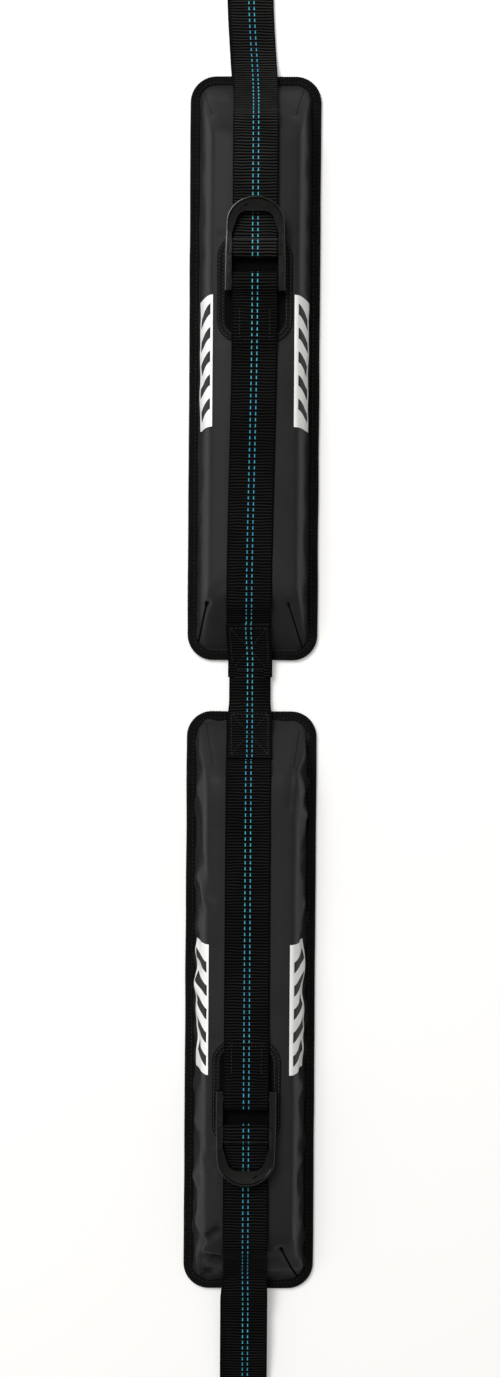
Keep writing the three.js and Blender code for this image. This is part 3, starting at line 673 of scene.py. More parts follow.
@dataclass(frozen=True)
class PrintedFilm(Finish):
    """Thin white print with slanted dark bars, a little creased."""

    bar_start: float
    bar_step: float
    bar_count: int
    bar_width: float
    low: float
    high: float
    slant: float

    def paint(self, tree: Tree, groups: Groups, place: Feed) -> Feeds:
        """Bars counted along the panel, between its low and high border."""
        _, along, up = tree.parts(place)
        share = tree.math("DIVIDE", tree.math("SUBTRACT", up, self.low), self.high - self.low)
        shifted = tree.math("SUBTRACT", along, tree.math("MULTIPLY_ADD", share, self.slant, self.bar_start))
        steps = tree.math("DIVIDE", shifted, self.bar_step)
        inside = tree.times(tree.math("FRACT", steps), abs(self.bar_step))
        printed = tree.fall(inside, self.bar_width - 0.0002, self.bar_width + 0.0002)
        for value, end in ((steps, float(self.bar_count)), (share, 1.0)):
            within = tree.times(tree.math("GREATER_THAN", value, 0.0), tree.math("LESS_THAN", value, end))
            printed = tree.times(printed, within)
        grain = tree.use(groups.grain, {"Place": place, "Grain scale": 700.0, "Cloud scale": 45.0})
        white = tree.blend(grain["Clouds"], gray(0.93, 0.004), gray(0.97, 0.002))
        return surface(tree.blend(printed, white, gray(0.006)), tree.spread(printed, 0.4, 0.6),
                       tree.spread(printed, 0.5, 0.15), tree.relief(grain["Height"], 0.03 * MM))


@dataclass(frozen=True)
class Thread(Finish):
    """Bonded sewing thread with a slight shine."""

    name: str = "thread_black"
    colour: float = 0.013

    def paint(self, tree: Tree, groups: Groups, place: Feed) -> Feeds:
        """Twisted strands."""
        twist = tree.use(groups.weave, {"Place": place, "Thread pitch": 0.0004})["Height"]
        return surface(tree.blend(twist, gray(self.colour * 0.5), gray(self.colour)), 0.5, 0.4,
                       tree.relief(twist, 0.05 * MM))


@dataclass(frozen=True)
class Paper(Finish):
    """The studio's white floor, lit up where it is seen, more so far from the rack."""

    name: str = "floor_white"
    top_up: float = 0.24
    far_top_up: float = 0.62

    def paint(self, tree: Tree, groups: Groups, place: Feed) -> Feeds:
        """Near-even white that keeps shadows."""
        colour = tree.blend(tree.speckle(place, 3.0), (0.80, 0.795, 0.785, 1.0), (0.81, 0.805, 0.795, 1.0))
        right, ahead, _ = tree.parts(place)
        away = tree.math("ADD", tree.times(right, right), tree.times(ahead, ahead))
        lift = tree.spread(tree.rise(away, 0.8, 9.0), self.top_up, self.far_top_up)
        return {"Base Color": colour, "Roughness": 0.9, "Specular IOR Level": 0.0,
                "Emission Color": WHITE, "Emission Strength": tree.times(tree.seen_directly(), lift)}


@dataclass
class Wardrobe:
    """Every finish of the rack, built once."""

    groups: Groups = field(default_factory=Groups)
    made: dict[str, bpy.types.Material] = field(default_factory=dict)

    def dress(self, piece: Piece, finish: Finish, slot: str) -> None:
        """Give a piece its finish."""
        if finish.name not in self.made:
            self.made[finish.name] = finish.build(self.groups)
        piece.data.materials.clear()
        piece.data.materials.append(self.made[finish.name])


# Routes in side view, as arrays of Y and Z.

def moved_left(route: np.ndarray, distance: float) -> np.ndarray:
    """A route moved to its left and mitred at its corners, seen with Y to the right and Z up."""
    ahead = np.vstack([route[1:], 2 * route[-1] - route[-2]])
    behind = np.vstack([2 * route[0] - route[1], route[:-1]])
    leaving = (ahead - route) / np.linalg.norm(ahead - route, axis=1, keepdims=True)
    arriving = (route - behind) / np.linalg.norm(route - behind, axis=1, keepdims=True)
    mitre = leaving + arriving
    mitre /= np.linalg.norm(mitre, axis=1, keepdims=True)
    left = np.stack([-mitre[:, 1], mitre[:, 0]], axis=1)
    return route + left * (distance / np.sum(mitre * leaving, axis=1))[:, None]


def curved(start: np.ndarray, first: np.ndarray, second: np.ndarray, end: np.ndarray,
           steps: int = 16) -> np.ndarray:
    """Points of a cubic curve from start to end with two controls."""
    share = np.linspace(0.0, 1.0, steps + 1)[:, None]
    rest = 1.0 - share
    return rest ** 3 * start + 3 * rest ** 2 * share * first + 3 * rest * share ** 2 * second + share ** 3 * end


def rounded_arc(centre: Pair, across: float, up: float, start: float, end: float,
                steps: int) -> np.ndarray:
    """Points of an elliptical arc, its angles in quarter turns from +Y towards +Z."""
    angles = np.linspace(start, end, steps + 1) * math.pi / 2
    return np.stack([centre[0] + across * np.cos(angles), centre[1] + up * np.sin(angles)], axis=1)


def eased(route: np.ndarray, rounds: int = 2) -> np.ndarray:
    """A route with its corners cut back a few times."""
    for _ in range(rounds):
        near, far = route[:-1] * 0.75 + route[1:] * 0.25, route[:-1] * 0.25 + route[1:] * 0.75
        between = np.stack([near, far], axis=1).reshape(-1, route.shape[1])
        route = np.vstack([route[:1], between, route[-1:]])
    return route


def measured(route: np.ndarray) -> np.ndarray:
    """The length of a route up to each of its points."""
    return np.concatenate([[0.0], np.cumsum(np.linalg.norm(np.diff(route, axis=0), axis=1))])


def read_off(route: np.ndarray, lengths: np.ndarray, at: Sizes) -> np.ndarray:
    """The route's place at one or more lengths along it."""
    return np.stack([np.interp(at, lengths, route[:, axis]) for axis in range(route.shape[1])], axis=-1)


def paced(route: np.ndarray, pace: float) -> np.ndarray:
    """A route with its points evenly spaced, about pace apart."""
    lengths = measured(route)
    count = max(2, round(lengths[-1] / pace))
    return read_off(route, lengths, np.linspace(0.0, lengths[-1], count + 1))


def up_to(route: np.ndarray, y: float) -> np.ndarray:
    """A route as far as a place along Y."""
    return np.vstack([route[route[:, 0] < y], [[y, np.interp(y, route[:, 0], route[:, 1])]]])


def rounded_plan(long_steps: int, short_steps: int, corner_steps: int) -> np.ndarray:
    """A rounded rectangle's points as shares: signs of its sides, then cosine and sine at its corners.

    Args:
        long_steps: Steps along each side that runs in Y.
        short_steps: Steps along each side that runs in X.
        corner_steps: Steps round each corner.

    Returns:
        One row a point, anticlockwise from above.
    """
    rows = []
    signs = [(1.0, 1.0), (-1.0, 1.0), (-1.0, -1.0), (1.0, -1.0)]
    for quarter, (side_x, side_y) in enumerate(signs):
        for step in range(corner_steps + 1):
            angle = (quarter + step / corner_steps) * math.pi / 2
            rows.append((side_x, side_y, math.cos(angle), math.sin(angle)))
        next_x, next_y = signs[(quarter + 1) % 4]
        steps = short_steps if next_y == side_y else long_steps
        angle = (quarter + 1) * math.pi / 2
        for step in range(1, steps):
            share = step / steps
            rows.append((side_x + (next_x - side_x) * share, side_y + (next_y - side_y) * share,
                         math.cos(angle), math.sin(angle)))
    return np.array(rows)


def rounded_ring(plan: np.ndarray, half_x: Sizes, half_y: Sizes, radius: Sizes, middle_y: float,
                 z: Sizes) -> np.ndarray:
    """Points of a rounded rectangle.

    Args:
        plan: Shares from rounded_plan.
        half_x: Half its size along X. This and the other sizes may change from point to point.
        half_y: Half its size along Y.
        radius: Its corner radius.
        middle_y: Where its middle lies along Y.
        z: Its height.

    Returns:
        The points.
    """
    x = plan[:, 0] * (half_x - radius) + plan[:, 2] * radius
    y = plan[:, 1] * (half_y - radius) + plan[:, 3] * radius
    return np.stack([x, y + middle_y, z + np.zeros(len(plan))], axis=1)


@dataclass(frozen=True)
class Dart:
    """A sewn dart at a pad's corner: from its top on the shoulder to its foot at the binding, from above, with shade
    painted along its seam. With no depth, it is only a line of painted shade along a fold.
    """

    top: Pair
    foot: Pair
    depth: float
    # The width and the strength of the shade painted along the line.
    slit: float
    shade: float


@dataclass(frozen=True)
class Crease:
    """A soft valley or, with a negative depth, a soft ridge in a cover, from above."""

    start: Pair
    end: Pair
    depth: float
    width: float


@dataclass(frozen=True)
class PadForm:
    """Sizes that a pad's pieces share, from the frame and from the way that the cover is cut."""

    half_width: float
    inner_end: float
    outer_end: float
    top: float
    binding_top: float
    binding_width: float = 8 * MM
    corner_radius: float = 22 * MM
    crown_rise: float = 3 * MM
    crown_half_width: float = 20 * MM
    crown_end_run: float = 14 * MM
    shoulder_radius: float = 9 * MM
    hem_height: float = 5.4 * MM
    hem_inset: float = 2.8 * MM
    side_lean: float = 3.2 * MM
    end_run: float = 46 * MM
    end_fullness: float = 0.06
    top_radius: float = 9 * MM
    foot_z: float = 3.6 * MM

    @classmethod
    def from_frame(cls) -> PadForm:
        """The pad's sizes, read from the left pad's binding and cover."""
        low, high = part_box(Side.LEFT.node("edge_binding"))
        return cls(half_width=high.x, inner_end=low.y, outer_end=high.y,
                   top=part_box(Side.LEFT.node("cover"))[1].z, binding_top=high.z)

    @property
    def foot_inset(self) -> float:
        """How far the cover's foot lies inside the binding's outer edge."""
        return self.binding_width + CLEARANCE

    @property
    def foot_half_width(self) -> float:
        """Half the cover's width at its foot."""
        return self.half_width - self.foot_inset

    @property
    def middle(self) -> float:
        """The pad's middle along Y."""
        return (self.inner_end + self.outer_end) / 2

    @property
    def half_length(self) -> float:
        """Half the pad's length, over the binding."""
        return (self.outer_end - self.inner_end) / 2

    @property
    def shoulder_z(self) -> float:
        """The height where the side wall turns into the shoulder."""
        return self.top - self.crown_rise - self.shoulder_radius

    @property
    def top_half_width(self) -> float:
        """Half the width of the pad's top, between its shoulders."""
        return self.foot_half_width - self.hem_inset - self.side_lean - self.shoulder_radius

    def end_inset(self, z: float) -> float:
        """How far the sloping end lies inside the foot at a height."""
        share = (z - self.foot_z) / (self.top - self.crown_rise - self.foot_z)
        return self.end_run * (share - self.end_fullness * math.sin(math.pi * share))

    def stations(self) -> np.ndarray:
        """The cover's section from crown to foot, each row a height, a side inset and an end inset."""
        rows = [(self.top, self.foot_half_width - self.crown_half_width, self.end_run + self.crown_end_run)]
        end_start = self.end_inset(self.shoulder_z)
        for step in range(5):
            angle = (1 - step / 4) * math.pi / 2
            rows.append((self.shoulder_z + self.shoulder_radius * math.sin(angle),
                         self.hem_inset + self.side_lean + self.shoulder_radius * (1 - math.cos(angle)),
                         end_start + (self.end_run - end_start) * (1 - math.cos(angle))))
        hem_z = self.foot_z + self.hem_height
        middle_z = (hem_z + self.shoulder_z) / 2
        rows.append((middle_z, self.hem_inset + self.side_lean / 2, self.end_inset(middle_z)))
        rows.append((hem_z, self.hem_inset, self.end_inset(hem_z)))
        rows.append((self.foot_z, 0.0, 0.0))
        return np.array(rows)

    def slope(self, outer: bool) -> np.ndarray:
        """The pad's inner or outer end along its middle line, inner from the foot up, outer from the crown down."""
        rows = self.stations()
        if outer:
            return np.stack([self.outer_end - self.foot_inset - rows[:-2, 2], rows[:-2, 0]], axis=1)
        return np.stack([self.inner_end + self.foot_inset + rows[::-1, 2], rows[::-1, 0]], axis=1)

    def crown_height(self, x: Sizes) -> Sizes:
        """The height of the pad's top at a distance from its middle line."""
        past = np.maximum(np.abs(x) - self.crown_half_width, 0.0)
        return self.top - self.crown_rise * past / (self.top_half_width - self.crown_half_width)

    def ring(self, plan: np.ndarray, inset: float, z: float) -> np.ndarray:
        """A ring of points round the left pad, inset from the binding's outer edge."""
        return rounded_ring(plan, self.half_width - inset, self.half_length - inset,
                            max(self.corner_radius - inset, 0.0), self.middle, z)


def near_segment(places: np.ndarray, start: Pair, end: Pair) -> np.ndarray:
    """How far places lie from a line between two points, seen from above."""
    first, run = np.array(start), np.array(end) - np.array(start)
    share = np.clip((places[:, :2] - first) @ run / (run @ run), 0.0, 1.0)
    return np.linalg.norm(places[:, :2] - first - share[:, None] * run, axis=1)


@dataclass
class PadCover:
    """A pad's sewn cover over its foam: smooth, with darts at its corners and soft creases."""

    side: Side
    form: PadForm
    darts: tuple[Dart, ...]
    creases: tuple[Crease, ...]
    slack: float
    strap_middle: float
    patch: tuple[float, float, float]
    wall: tuple[Pair, ...] = ((9 * MM, 2.1 * MM), (20 * MM, 4.3 * MM), (33 * MM, 7.1 * MM),
                                             (42.8 * MM, 10.6 * MM))
    crown: tuple[Pair, ...] = ((45 * MM, 33 * MM), (47 * MM, 19 * MM), (47 * MM, 0.0))
    long_steps: int = 150
    short_steps: int = 28
    corner_steps: int = 8
    pace: float = 2.6 * MM
    foot_past: float = 1.3 * MM
    seam_width: float = 2.2 * MM
    hole_width: float = 4.5 * MM
    lip_away: float = 5 * MM
    lip_width: float = 2.6 * MM
    foot_thickness: float = 1 * MM

    def section(self) -> np.ndarray:
        """The smooth section from foot over the shoulder to the middle line: height, side inset and end inset."""
        form = self.form
        edge = form.top - form.crown_rise
        controls = [(form.foot_z, 0.0, 0.0), *((z, inset, form.end_inset(z)) for z, inset in self.wall)]
        for z, half in self.crown:
            past = form.crown_end_run * (z - edge) / form.crown_rise
            controls.append((z, form.foot_half_width - half, form.end_run + past + (19 * MM - min(half, 19 * MM))))
        return paced(eased(np.array(controls), 4), self.pace)

    def sculpt(self, places: np.ndarray) -> np.ndarray:
        """Press darts and creases into the cover's points, and let it ripple where it is slack."""
        top, foot = self.form.top, self.form.foot_z
        y, z = places[:, 1], places[:, 2]
        off_middle = np.abs(places[:, 0] - self.strap_middle)
        low, high, half = self.patch
        fade = 4 * MM
        under_patch = (smooth_step(y, low - fade, low) * smooth_fall(y, high, high + fade)
                       * smooth_fall(off_middle, half, half + 3 * MM))
        under_strap = smooth_fall(off_middle, 19.5 * MM, 24 * MM) * smooth_step(z, top - 2 * fade, top - fade)
        free = (1 - np.maximum(under_strap, under_patch)) * smooth_step(z, foot + 2 * MM, foot + 8 * MM)
        depth = np.zeros(len(places))
        for crease in self.creases:
            depth += crease.depth * dent(near_segment(places, crease.start, crease.end), crease.width)
        for dart in self.darts:
            away = near_segment(places, dart.top, dart.foot)
            hole = np.linalg.norm(places[:, :2] - np.array(dart.top), axis=1)
            depth += dart.depth * dent(away, self.seam_width) + dart.depth * 1.3 * dent(hole, self.hole_width)
            depth -= dart.depth * 0.45 * dent(away - self.lip_away, self.lip_width)
        low_wall = smooth_step(z, foot + 1 * MM, foot + 4 * MM) * smooth_fall(z, 16 * MM, 34 * MM)
        ripple = noise_at(places, (34, 15, 30)) + noise_at(places, (70, 42, 60), (9, 0, 0)) * 0.35
        swell = noise_at(places, (8, 62, 12), (4, 0, 0)) * low_wall * 5.0
        depth += self.slack * (ripple + swell)
        moved = places - self.outward(places) * (depth * free)[:, None]
        ceiling = self.form.crown_height(moved[:, 0])
        moved[:, 2] -= np.maximum(moved[:, 2] - ceiling, 0.0) * under_patch
        return moved

    def outward(self, places: np.ndarray) -> np.ndarray:
        """The way out of the cover at each point: up on top, outward on its walls."""
        form = self.form
        middle = form.middle * self.side.turn
        reach = form.half_length - form.foot_inset - form.end_run
        off_end = np.sign(places[:, 1] - middle) * np.maximum(np.abs(places[:, 1] - middle) - reach, 0.0)
        wall = smooth_step(form.top - form.crown_rise - places[:, 2], -1 * MM, 12 * MM)
        sideways = np.stack([np.sign(places[:, 0]) * smooth_step(np.abs(places[:, 0]), 28 * MM, 38 * MM),
                             off_end / form.end_run * 0.8, np.zeros(len(places))], axis=1)
        ways = sideways * wall[:, None] + UP * (1.15 - wall)[:, None]
        return ways / np.linalg.norm(ways, axis=1, keepdims=True)

    def build(self) -> Piece:
        """Make the cover as one closed padded form."""
        form = self.form
        plan = rounded_plan(self.long_steps, self.short_steps, self.corner_steps)
        rings = []
        for z, side, end in self.section():
            half = form.foot_half_width - side
            corner = form.corner_radius - form.foot_inset if z < form.foot_z + 0.5 * MM else form.top_radius
            rings.append(rounded_ring(plan, half, form.half_length - form.foot_inset - end, min(corner, half),
                                      form.middle, z))
        edge = form.ring(plan, self.foot_past, form.foot_z)
        under = form.ring(plan, self.foot_past, form.foot_z - self.foot_thickness)
        ground = form.ring(plan, form.foot_inset, form.foot_z - self.foot_thickness)
        keel = ground * np.array([0.0, 1.0, 1.0])
        points = np.vstack([keel, ground, under, edge, *rings])
        faces = wrap_faces(len(rings) + 4, len(plan), closed=False)
        cover = sewn_mesh(self.side.node("padded_cover"), self.side.place(points), faces)
        turn_outward(cover, weld=WELD)
        bend_by(cover, self.sculpt)
        apply_modifier(cover, "SUBSURF", levels=1, render_levels=1)
        soften(cover, 60.0)
        return cover


@dataclass
class PrintedPanel:
    """White print on one long wall of a pad, cut from the cover that it lies on."""

    side: Side
    form: PadForm
    facing: float
    inner: float
    length: float = 110 * MM
    lift: float = 0.25 * MM
    thickness: float = 0.25 * MM

    def build(self, cover: Piece) -> Piece:
        """Copy the cover's wall, trim it to the panel and lift it off."""
        form = self.form
        take(cover)
        bpy.ops.object.duplicate()
        panel = bpy.context.object
        panel.name = self.side.node("front_print" if self.facing < 0 else "rear_print")
        panel.data.name = panel.name
        middle = form.middle * self.side.turn
        trims = [((0, middle - self.length / 2, 0), (0, -1, 0)), ((0, middle + self.length / 2, 0), (0, 1, 0)),
                 ((0, 0, form.foot_z + form.hem_height), (0, 0, -1)),
                 ((self.facing * self.inner, 0, 0), (-self.facing, 0, 0))]
        for place, way in trims:
            choose(panel)
            bpy.ops.mesh.bisect(plane_co=place, plane_no=way, clear_outer=True)
        choose(panel)
        bpy.ops.transform.shrink_fatten(value=self.lift)
        start_clean()
        apply_modifier(panel, "SOLIDIFY", thickness=self.thickness, offset=1.0)
        soften(panel, 40.0)
        return panel


@dataclass
class EdgeBinding:
    """Ribbed tape folded round the pad's edge."""

    side: Side
    form: PadForm
    slack: float
    thickness: float = 1 * MM
    fold: float = 1.7 * MM
    rib_pitch: float = 2 * MM
    rib_height: float = 0.4 * MM
    rib_steps: int = 4
    wave: float = 0.35 * MM

    def profile(self) -> np.ndarray:
        """The folded tape's section as insets from the edge and heights, from its upper leg round and back."""
        width, top, thick = self.form.binding_width, self.form.binding_top, self.thickness
        outside = [(width, top), (width * 0.6, top), *self.turn_of(self.fold, top - self.fold, self.fold, 0, 1),
                   *self.turn_of(self.fold, self.fold, self.fold, 1, 2), (width, 0.0)]
        inner = self.fold - thick * 0.8
        inside = [(width, thick), *self.turn_of(thick + inner, thick + inner, inner, 2, 1),
                  *self.turn_of(thick + inner, top - thick - inner, inner, 1, 0), (width, top - thick)]
        return np.array([*outside, *inside])

    def turn_of(self, inset: float, z: float, radius: float, start: float, end: float) -> list[Pair]:
        """Points of a rounded turn, in quarter turns from straight up towards the edge."""
        angles = np.linspace(start, end, 5) * math.pi / 2
        return [(inset - radius * math.sin(a), z + radius * math.cos(a)) for a in angles]

    def build(self) -> Piece:
        """Make the tape."""
        form = self.form
        sides = (form.half_length - form.corner_radius, form.half_width - form.corner_radius,
                 form.corner_radius * math.pi / 4)
        plan = rounded_plan(*(round(2 * side / self.rib_pitch) * self.rib_steps for side in sides))
        edge = form.ring(plan, 0.0, 0.0)
        along = measured(np.vstack([edge, edge[:1]]))[:-1]
        profile = self.profile()
        rib = np.cos(2 * math.pi * along / self.rib_pitch) * self.rib_height / 2
        sway = noise_at(edge, (22, 22, 0), (0, 0, 3))
        wander = sway * 0.8 * MM + noise_at(edge, (65, 65, 0), (0, 0, 8)) * self.slack * 2.6
        centre = np.array([form.binding_width * 0.5, form.binding_top / 2])
        rings, flats = [], []
        for (inset, z), tape in zip(profile, measured(profile)):
            loose = smooth_step(inset, 2 * MM, form.binding_width) if z > form.binding_top / 2 else 0.0
            radial = np.array([inset, z]) - centre
            radial /= np.linalg.norm(radial)
            shift = inset + rib * radial[0] + sway * self.wave * (1 - loose) - wander * loose
            heights = z + rib * radial[1] * (0.0 if z < 0.5 * MM else 1.0) + np.abs(sway) * self.wave * loose
            rings.append(rounded_ring(plan, form.half_width - shift, form.half_length - shift,
                                      np.maximum(form.corner_radius - shift, 0.1 * MM), form.middle, heights))
            flats.append(np.stack([np.full(len(plan), tape), along], axis=1))
        points = np.stack(rings, axis=1).reshape(-1, 3)
        flat = np.stack(flats, axis=1).reshape(-1, 2)
        faces = wrap_faces(len(plan), len(profile))
        binding = sewn_mesh(self.side.node("binding_tape"), self.side.place(points), faces, flat)
        turn_outward(binding)
        soften(binding, 50.0)
        return binding


@dataclass(frozen=True)
class Ribbon:
    """A band of webbing laid along a route, which is its middle line."""

    width: float = WEBBING_WIDTH
    thickness: float = 1.7 * MM
    across_steps: int = 14
    edge_round: float = 0.8 * MM

    def section(self) -> np.ndarray:
        """The band's section as places across and heights, anticlockwise seen along its way."""
        half, up = self.width / 2, self.thickness / 2
        across = np.linspace(-half + self.edge_round, half - self.edge_round, self.across_steps + 1)
        top = np.stack([across[::-1], np.full(len(across), up)], axis=1)
        bottom = np.stack([across, np.full(len(across), -up)], axis=1)
        return np.vstack([bottom, [[half, 0.0]], top, [[-half, 0.0]]])

    def build(self, name: str, side: Side, route: np.ndarray,
              middle: Callable[[np.ndarray, np.ndarray], np.ndarray],
              cup: Callable[[np.ndarray], np.ndarray] | None = None) -> Piece:
        """Make the band.

        Args:
            name: The piece's name.
            side: The pad that it belongs to.
            route: Its middle line as Y and Z for the left pad.
            middle: The band's place along X, for places along Y in the row frame and along the band.
            cup: How much its edges curl down, as a share of its width, for places along Y in the row frame.

        Returns:
            The band, with its flat place as UV map.
        """
        section = self.section()
        tangent = np.gradient(route, axis=0)
        tangent /= np.linalg.norm(tangent, axis=1, keepdims=True)
        normal = np.stack([-tangent[:, 1], tangent[:, 0]], axis=1)
        along = measured(route)
        row_y = route[:, 0] * side.turn
        centre = middle(row_y, along)
        curl = cup(row_y) if cup else np.zeros(len(route))
        points, flats = [], []
        for place in range(len(route)):
            fall = curl[place] * (section[:, 0] / (self.width / 2)) ** 2 * self.width * 0.5
            side_on = route[place] + normal[place] * (section[:, 1] - fall)[:, None]
            turned = side.place(np.column_stack([section[:, 0] * narrowed(curl[place]), side_on]))
            points.append(turned + np.array([centre[place], 0.0, 0.0]))
            flats.append(np.stack([section[:, 0], np.full(len(section), along[place])], axis=1))
        count = len(section)
        faces = wrap_faces(len(route), count, closed=False)
        faces.append(tuple(range(count)))
        faces.append(tuple(range(len(route) * count - 1, (len(route) - 1) * count - 1, -1)))
        band = sewn_mesh(name, np.vstack(points), faces, np.vstack(flats))
        turn_outward(band)
        soften(band, 45.0)
        return band


def narrowed(curl: Sizes) -> Sizes:
    """How wide a curled band still is from above, as a share of its width."""
    return 1.0 - curl ** 2 * 0.9


@dataclass(frozen=True)
class Hardware:
    """Sizes of buckle, patch and strap that follow each other, measured outward from the anchor bar."""

    form: PadForm
    anchor: float
    middle: float
    ride_height: float
    pad_strap_start: float
    layer: float = 2.1 * MM
    patch_thickness: float = 1 * MM
    patch_inner_reach: float = 48 * MM
    patch_outer_reach: float = 42 * MM
    bar_radius: float = 3.5 * MM
    rail_inner: float = 19.4 * MM
    rail_thickness: float = 5.6 * MM
    rail_height: float = 8 * MM
    nose_reach: float = 7.2 * MM
    loop_rise_start: float = 40 * MM
    middle_bar_start: float = 22.9 * MM
    middle_bar_width: float = 11.7 * MM
    middle_bar_height: float = 5.5 * MM
    fold_reach: float = 46 * MM
    wrap_radius: float = 1.8 * MM
    foot_radius: float = 2.8 * MM
    join_lift_off: float = 50 * MM
    join_height: float = 7 * MM
    tail_reach: float = 90 * MM
    landing_reach: float = 24 * MM
    roll_entry: float = 118 * MM
    roll_distance: float = 134 * MM
    roll_radius: float = 32 * MM
    roll_hole: float = 9 * MM

    @classmethod
    def from_frame(cls, side: Side, form: PadForm, joints: list[dict[str, object]]) -> Hardware:
        """Read where a side's buckle and straps lie, in the left pad's frame apart from middle."""
        joint = next(joint for joint in joints if joint["name"] == side.node("buckle_tilt"))
        low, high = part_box(side.node("buckle"))
        start = min(abs(corner.y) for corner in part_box(side.node("pad_strap")))
        return cls(form=form, anchor=abs(joint["pos_m"][1]), middle=(low.x + high.x) / 2,
                   ride_height=0.0 if side is Side.LEFT else 10 * MM, pad_strap_start=start)

    @property
    def patch_top(self) -> float:
        """The height of the patch's upper face."""
        return self.form.top + CLEARANCE + self.patch_thickness

    @property
    def fold_top(self) -> float:
        """The height of the pad strap's returned layer."""
        return self.patch_top + self.layer

    @property
    def anchor_z(self) -> float:
        """The height of the anchor bar's middle."""
        return self.fold_top + CLEARANCE + self.bar_radius

    @property
    def half_width(self) -> float:
        """Half the buckle's width."""
        return self.rail_inner + self.rail_thickness

    @property
    def patch_half_width(self) -> float:
        """Half the patch's width, which stays on the pad's top."""
        return self.form.top_half_width - abs(self.middle) - 1.2 * MM

    def join_route(self) -> np.ndarray:
        """The face under pad strap and joining strap, from the middle of the gap up to the crown."""
        slope = moved_left(self.form.slope(outer=False), CLEARANCE)
        upper = slope[slope[:, 0] > self.join_lift_off]
        before = slope[len(slope) - len(upper) - 1]
        share = (self.join_lift_off - before[0]) / (upper[0, 0] - before[0])
        level = np.array([[self.join_lift_off * part, self.join_height] for part in (0.0, 0.3, 0.62)])
        return np.vstack([curved(*level, before + (upper[0] - before) * share), upper])

    def load_route(self) -> np.ndarray:
        """The load strap's lower face, from over the patch's edge down to the ground and into the roll."""
        form = self.form
        crown = np.array([[self.anchor + self.patch_outer_reach + 5 * MM, form.top]])
        on_pad = moved_left(np.vstack([crown, form.slope(outer=True)]), CLEARANCE)
        leaving = on_pad[-1]
        downhill = (on_pad[-1] - on_pad[-2]) / np.linalg.norm(on_pad[-1] - on_pad[-2])
        edge = np.array([form.outer_end + CLEARANCE, form.binding_top + 2 * CLEARANCE + self.ride_height])
        fall, reach = 0.36, 8 * MM
        shallow = np.array([1.0, -fall]) / math.hypot(1.0, fall)
        landing = np.array([form.outer_end + self.landing_reach, CLEARANCE + self.ride_height])
        entry = np.array([form.outer_end + self.roll_entry, CLEARANCE])
        middle = (landing[0] + entry[0]) / 2
        return np.vstack([
            on_pad,
            curved(leaving, leaving + downhill * 14 * MM, edge - shallow * reach, edge)[1:],
            curved(edge, edge + shallow * reach, landing - np.array([reach, 0.0]), landing)[1:],
            curved(landing, np.array([middle, landing[1]]), np.array([middle, entry[1]]), entry)[1:],
            [[form.outer_end + self.roll_distance - CLEARANCE, CLEARANCE]],
        ])

    def pad_strap_route(self) -> np.ndarray:
        """The pad strap's middle line: along the pad, round the anchor bar and back under itself."""
        face = self.join_route()
        start = self.pad_strap_start
        begin = np.array([[start, np.interp(start, face[:, 0], face[:, 1])]])
        crown_z, upper_z = self.form.top + CLEARANCE, self.fold_top + CLEARANCE
        depth = self.bar_radius + CLEARANCE
        wrap = rounded_arc((self.anchor, self.anchor_z), depth + 3.9 * MM, depth, 1.35, -1.0, 14)
        along = np.vstack([
            begin, face[face[:, 0] > start],
            *([[self.anchor - back, z]] for back, z in ((56 * MM, crown_z), (48.5 * MM, upper_z), (12 * MM, upper_z))),
            wrap, [[self.anchor - self.fold_reach, self.fold_top]],
        ])
        return paced(eased(moved_left(along, self.layer / 2 - CLEARANCE / 2), 2), 1.8 * MM)

    def load_strap_route(self) -> np.ndarray:
        """One length of webbing: from the tail's end to the buckle, over its middle bar, back out and into the roll."""
        half = self.layer / 2 - CLEARANCE / 2
        patch_z = self.patch_top + CLEARANCE
        over_edge = [[self.anchor + 33.3 * MM, patch_z], [self.anchor + self.patch_outer_reach + CLEARANCE, patch_z]]
        lower = np.vstack([over_edge, self.load_route()])
        tail = up_to(moved_left(lower, self.layer + half)[1:], self.form.outer_end + self.tail_reach)
        bar_z = self.fold_top + CLEARANCE
        turn = self.wrap_radius
        radius, foot = turn + half, self.foot_radius - half
        inner_y = self.anchor + self.middle_bar_start - CLEARANCE + turn
        outer_y = self.anchor + (self.middle_bar_start + self.middle_bar_width) + CLEARANCE - turn
        low_z = bar_z - CLEARANCE + turn
        high_z = bar_z + self.middle_bar_height + CLEARANCE - turn
        over = np.vstack([
            rounded_arc((outer_y + turn + self.foot_radius, bar_z + self.foot_radius), foot, foot, 3, 2, 5),
            rounded_arc((outer_y, high_z), radius, radius, 0, 1, 5),
            rounded_arc((inner_y, high_z), radius, radius, 1, 2, 5),
            rounded_arc((inner_y, low_z), radius, radius, 2, 3, 5),
        ])
        under = [[self.anchor + 30 * MM, low_z - radius]]
        return np.vstack([tail[::-1], over, under, moved_left(lower, half)[:-1], self.roll_route(half)])

    def roll_route(self, half: float, turn_steps: int = 36) -> np.ndarray:
        """The rolled length as a spiral standing on the ground past the pad."""
        turns = (self.roll_radius - self.roll_hole - self.wrap_radius) / self.layer
        steps = np.arange(int(turns * turn_steps) + 1)
        angles = steps / turn_steps * 2 * math.pi
        radii = self.roll_radius - half - self.layer * steps / turn_steps
        centre = (self.form.outer_end + self.roll_distance, self.roll_radius + CLEARANCE)
        return np.stack([centre[0] + radii * np.sin(angles), centre[1] - radii * np.cos(angles)], axis=1)


def closed_row(ring: np.ndarray) -> tuple[np.ndarray, np.ndarray]:
    """A row of stitches round a level ring: its points, and the cloth's way up at each."""
    ring = np.vstack([ring, ring[:1]])
    return ring, np.tile(UP, (len(ring), 1))


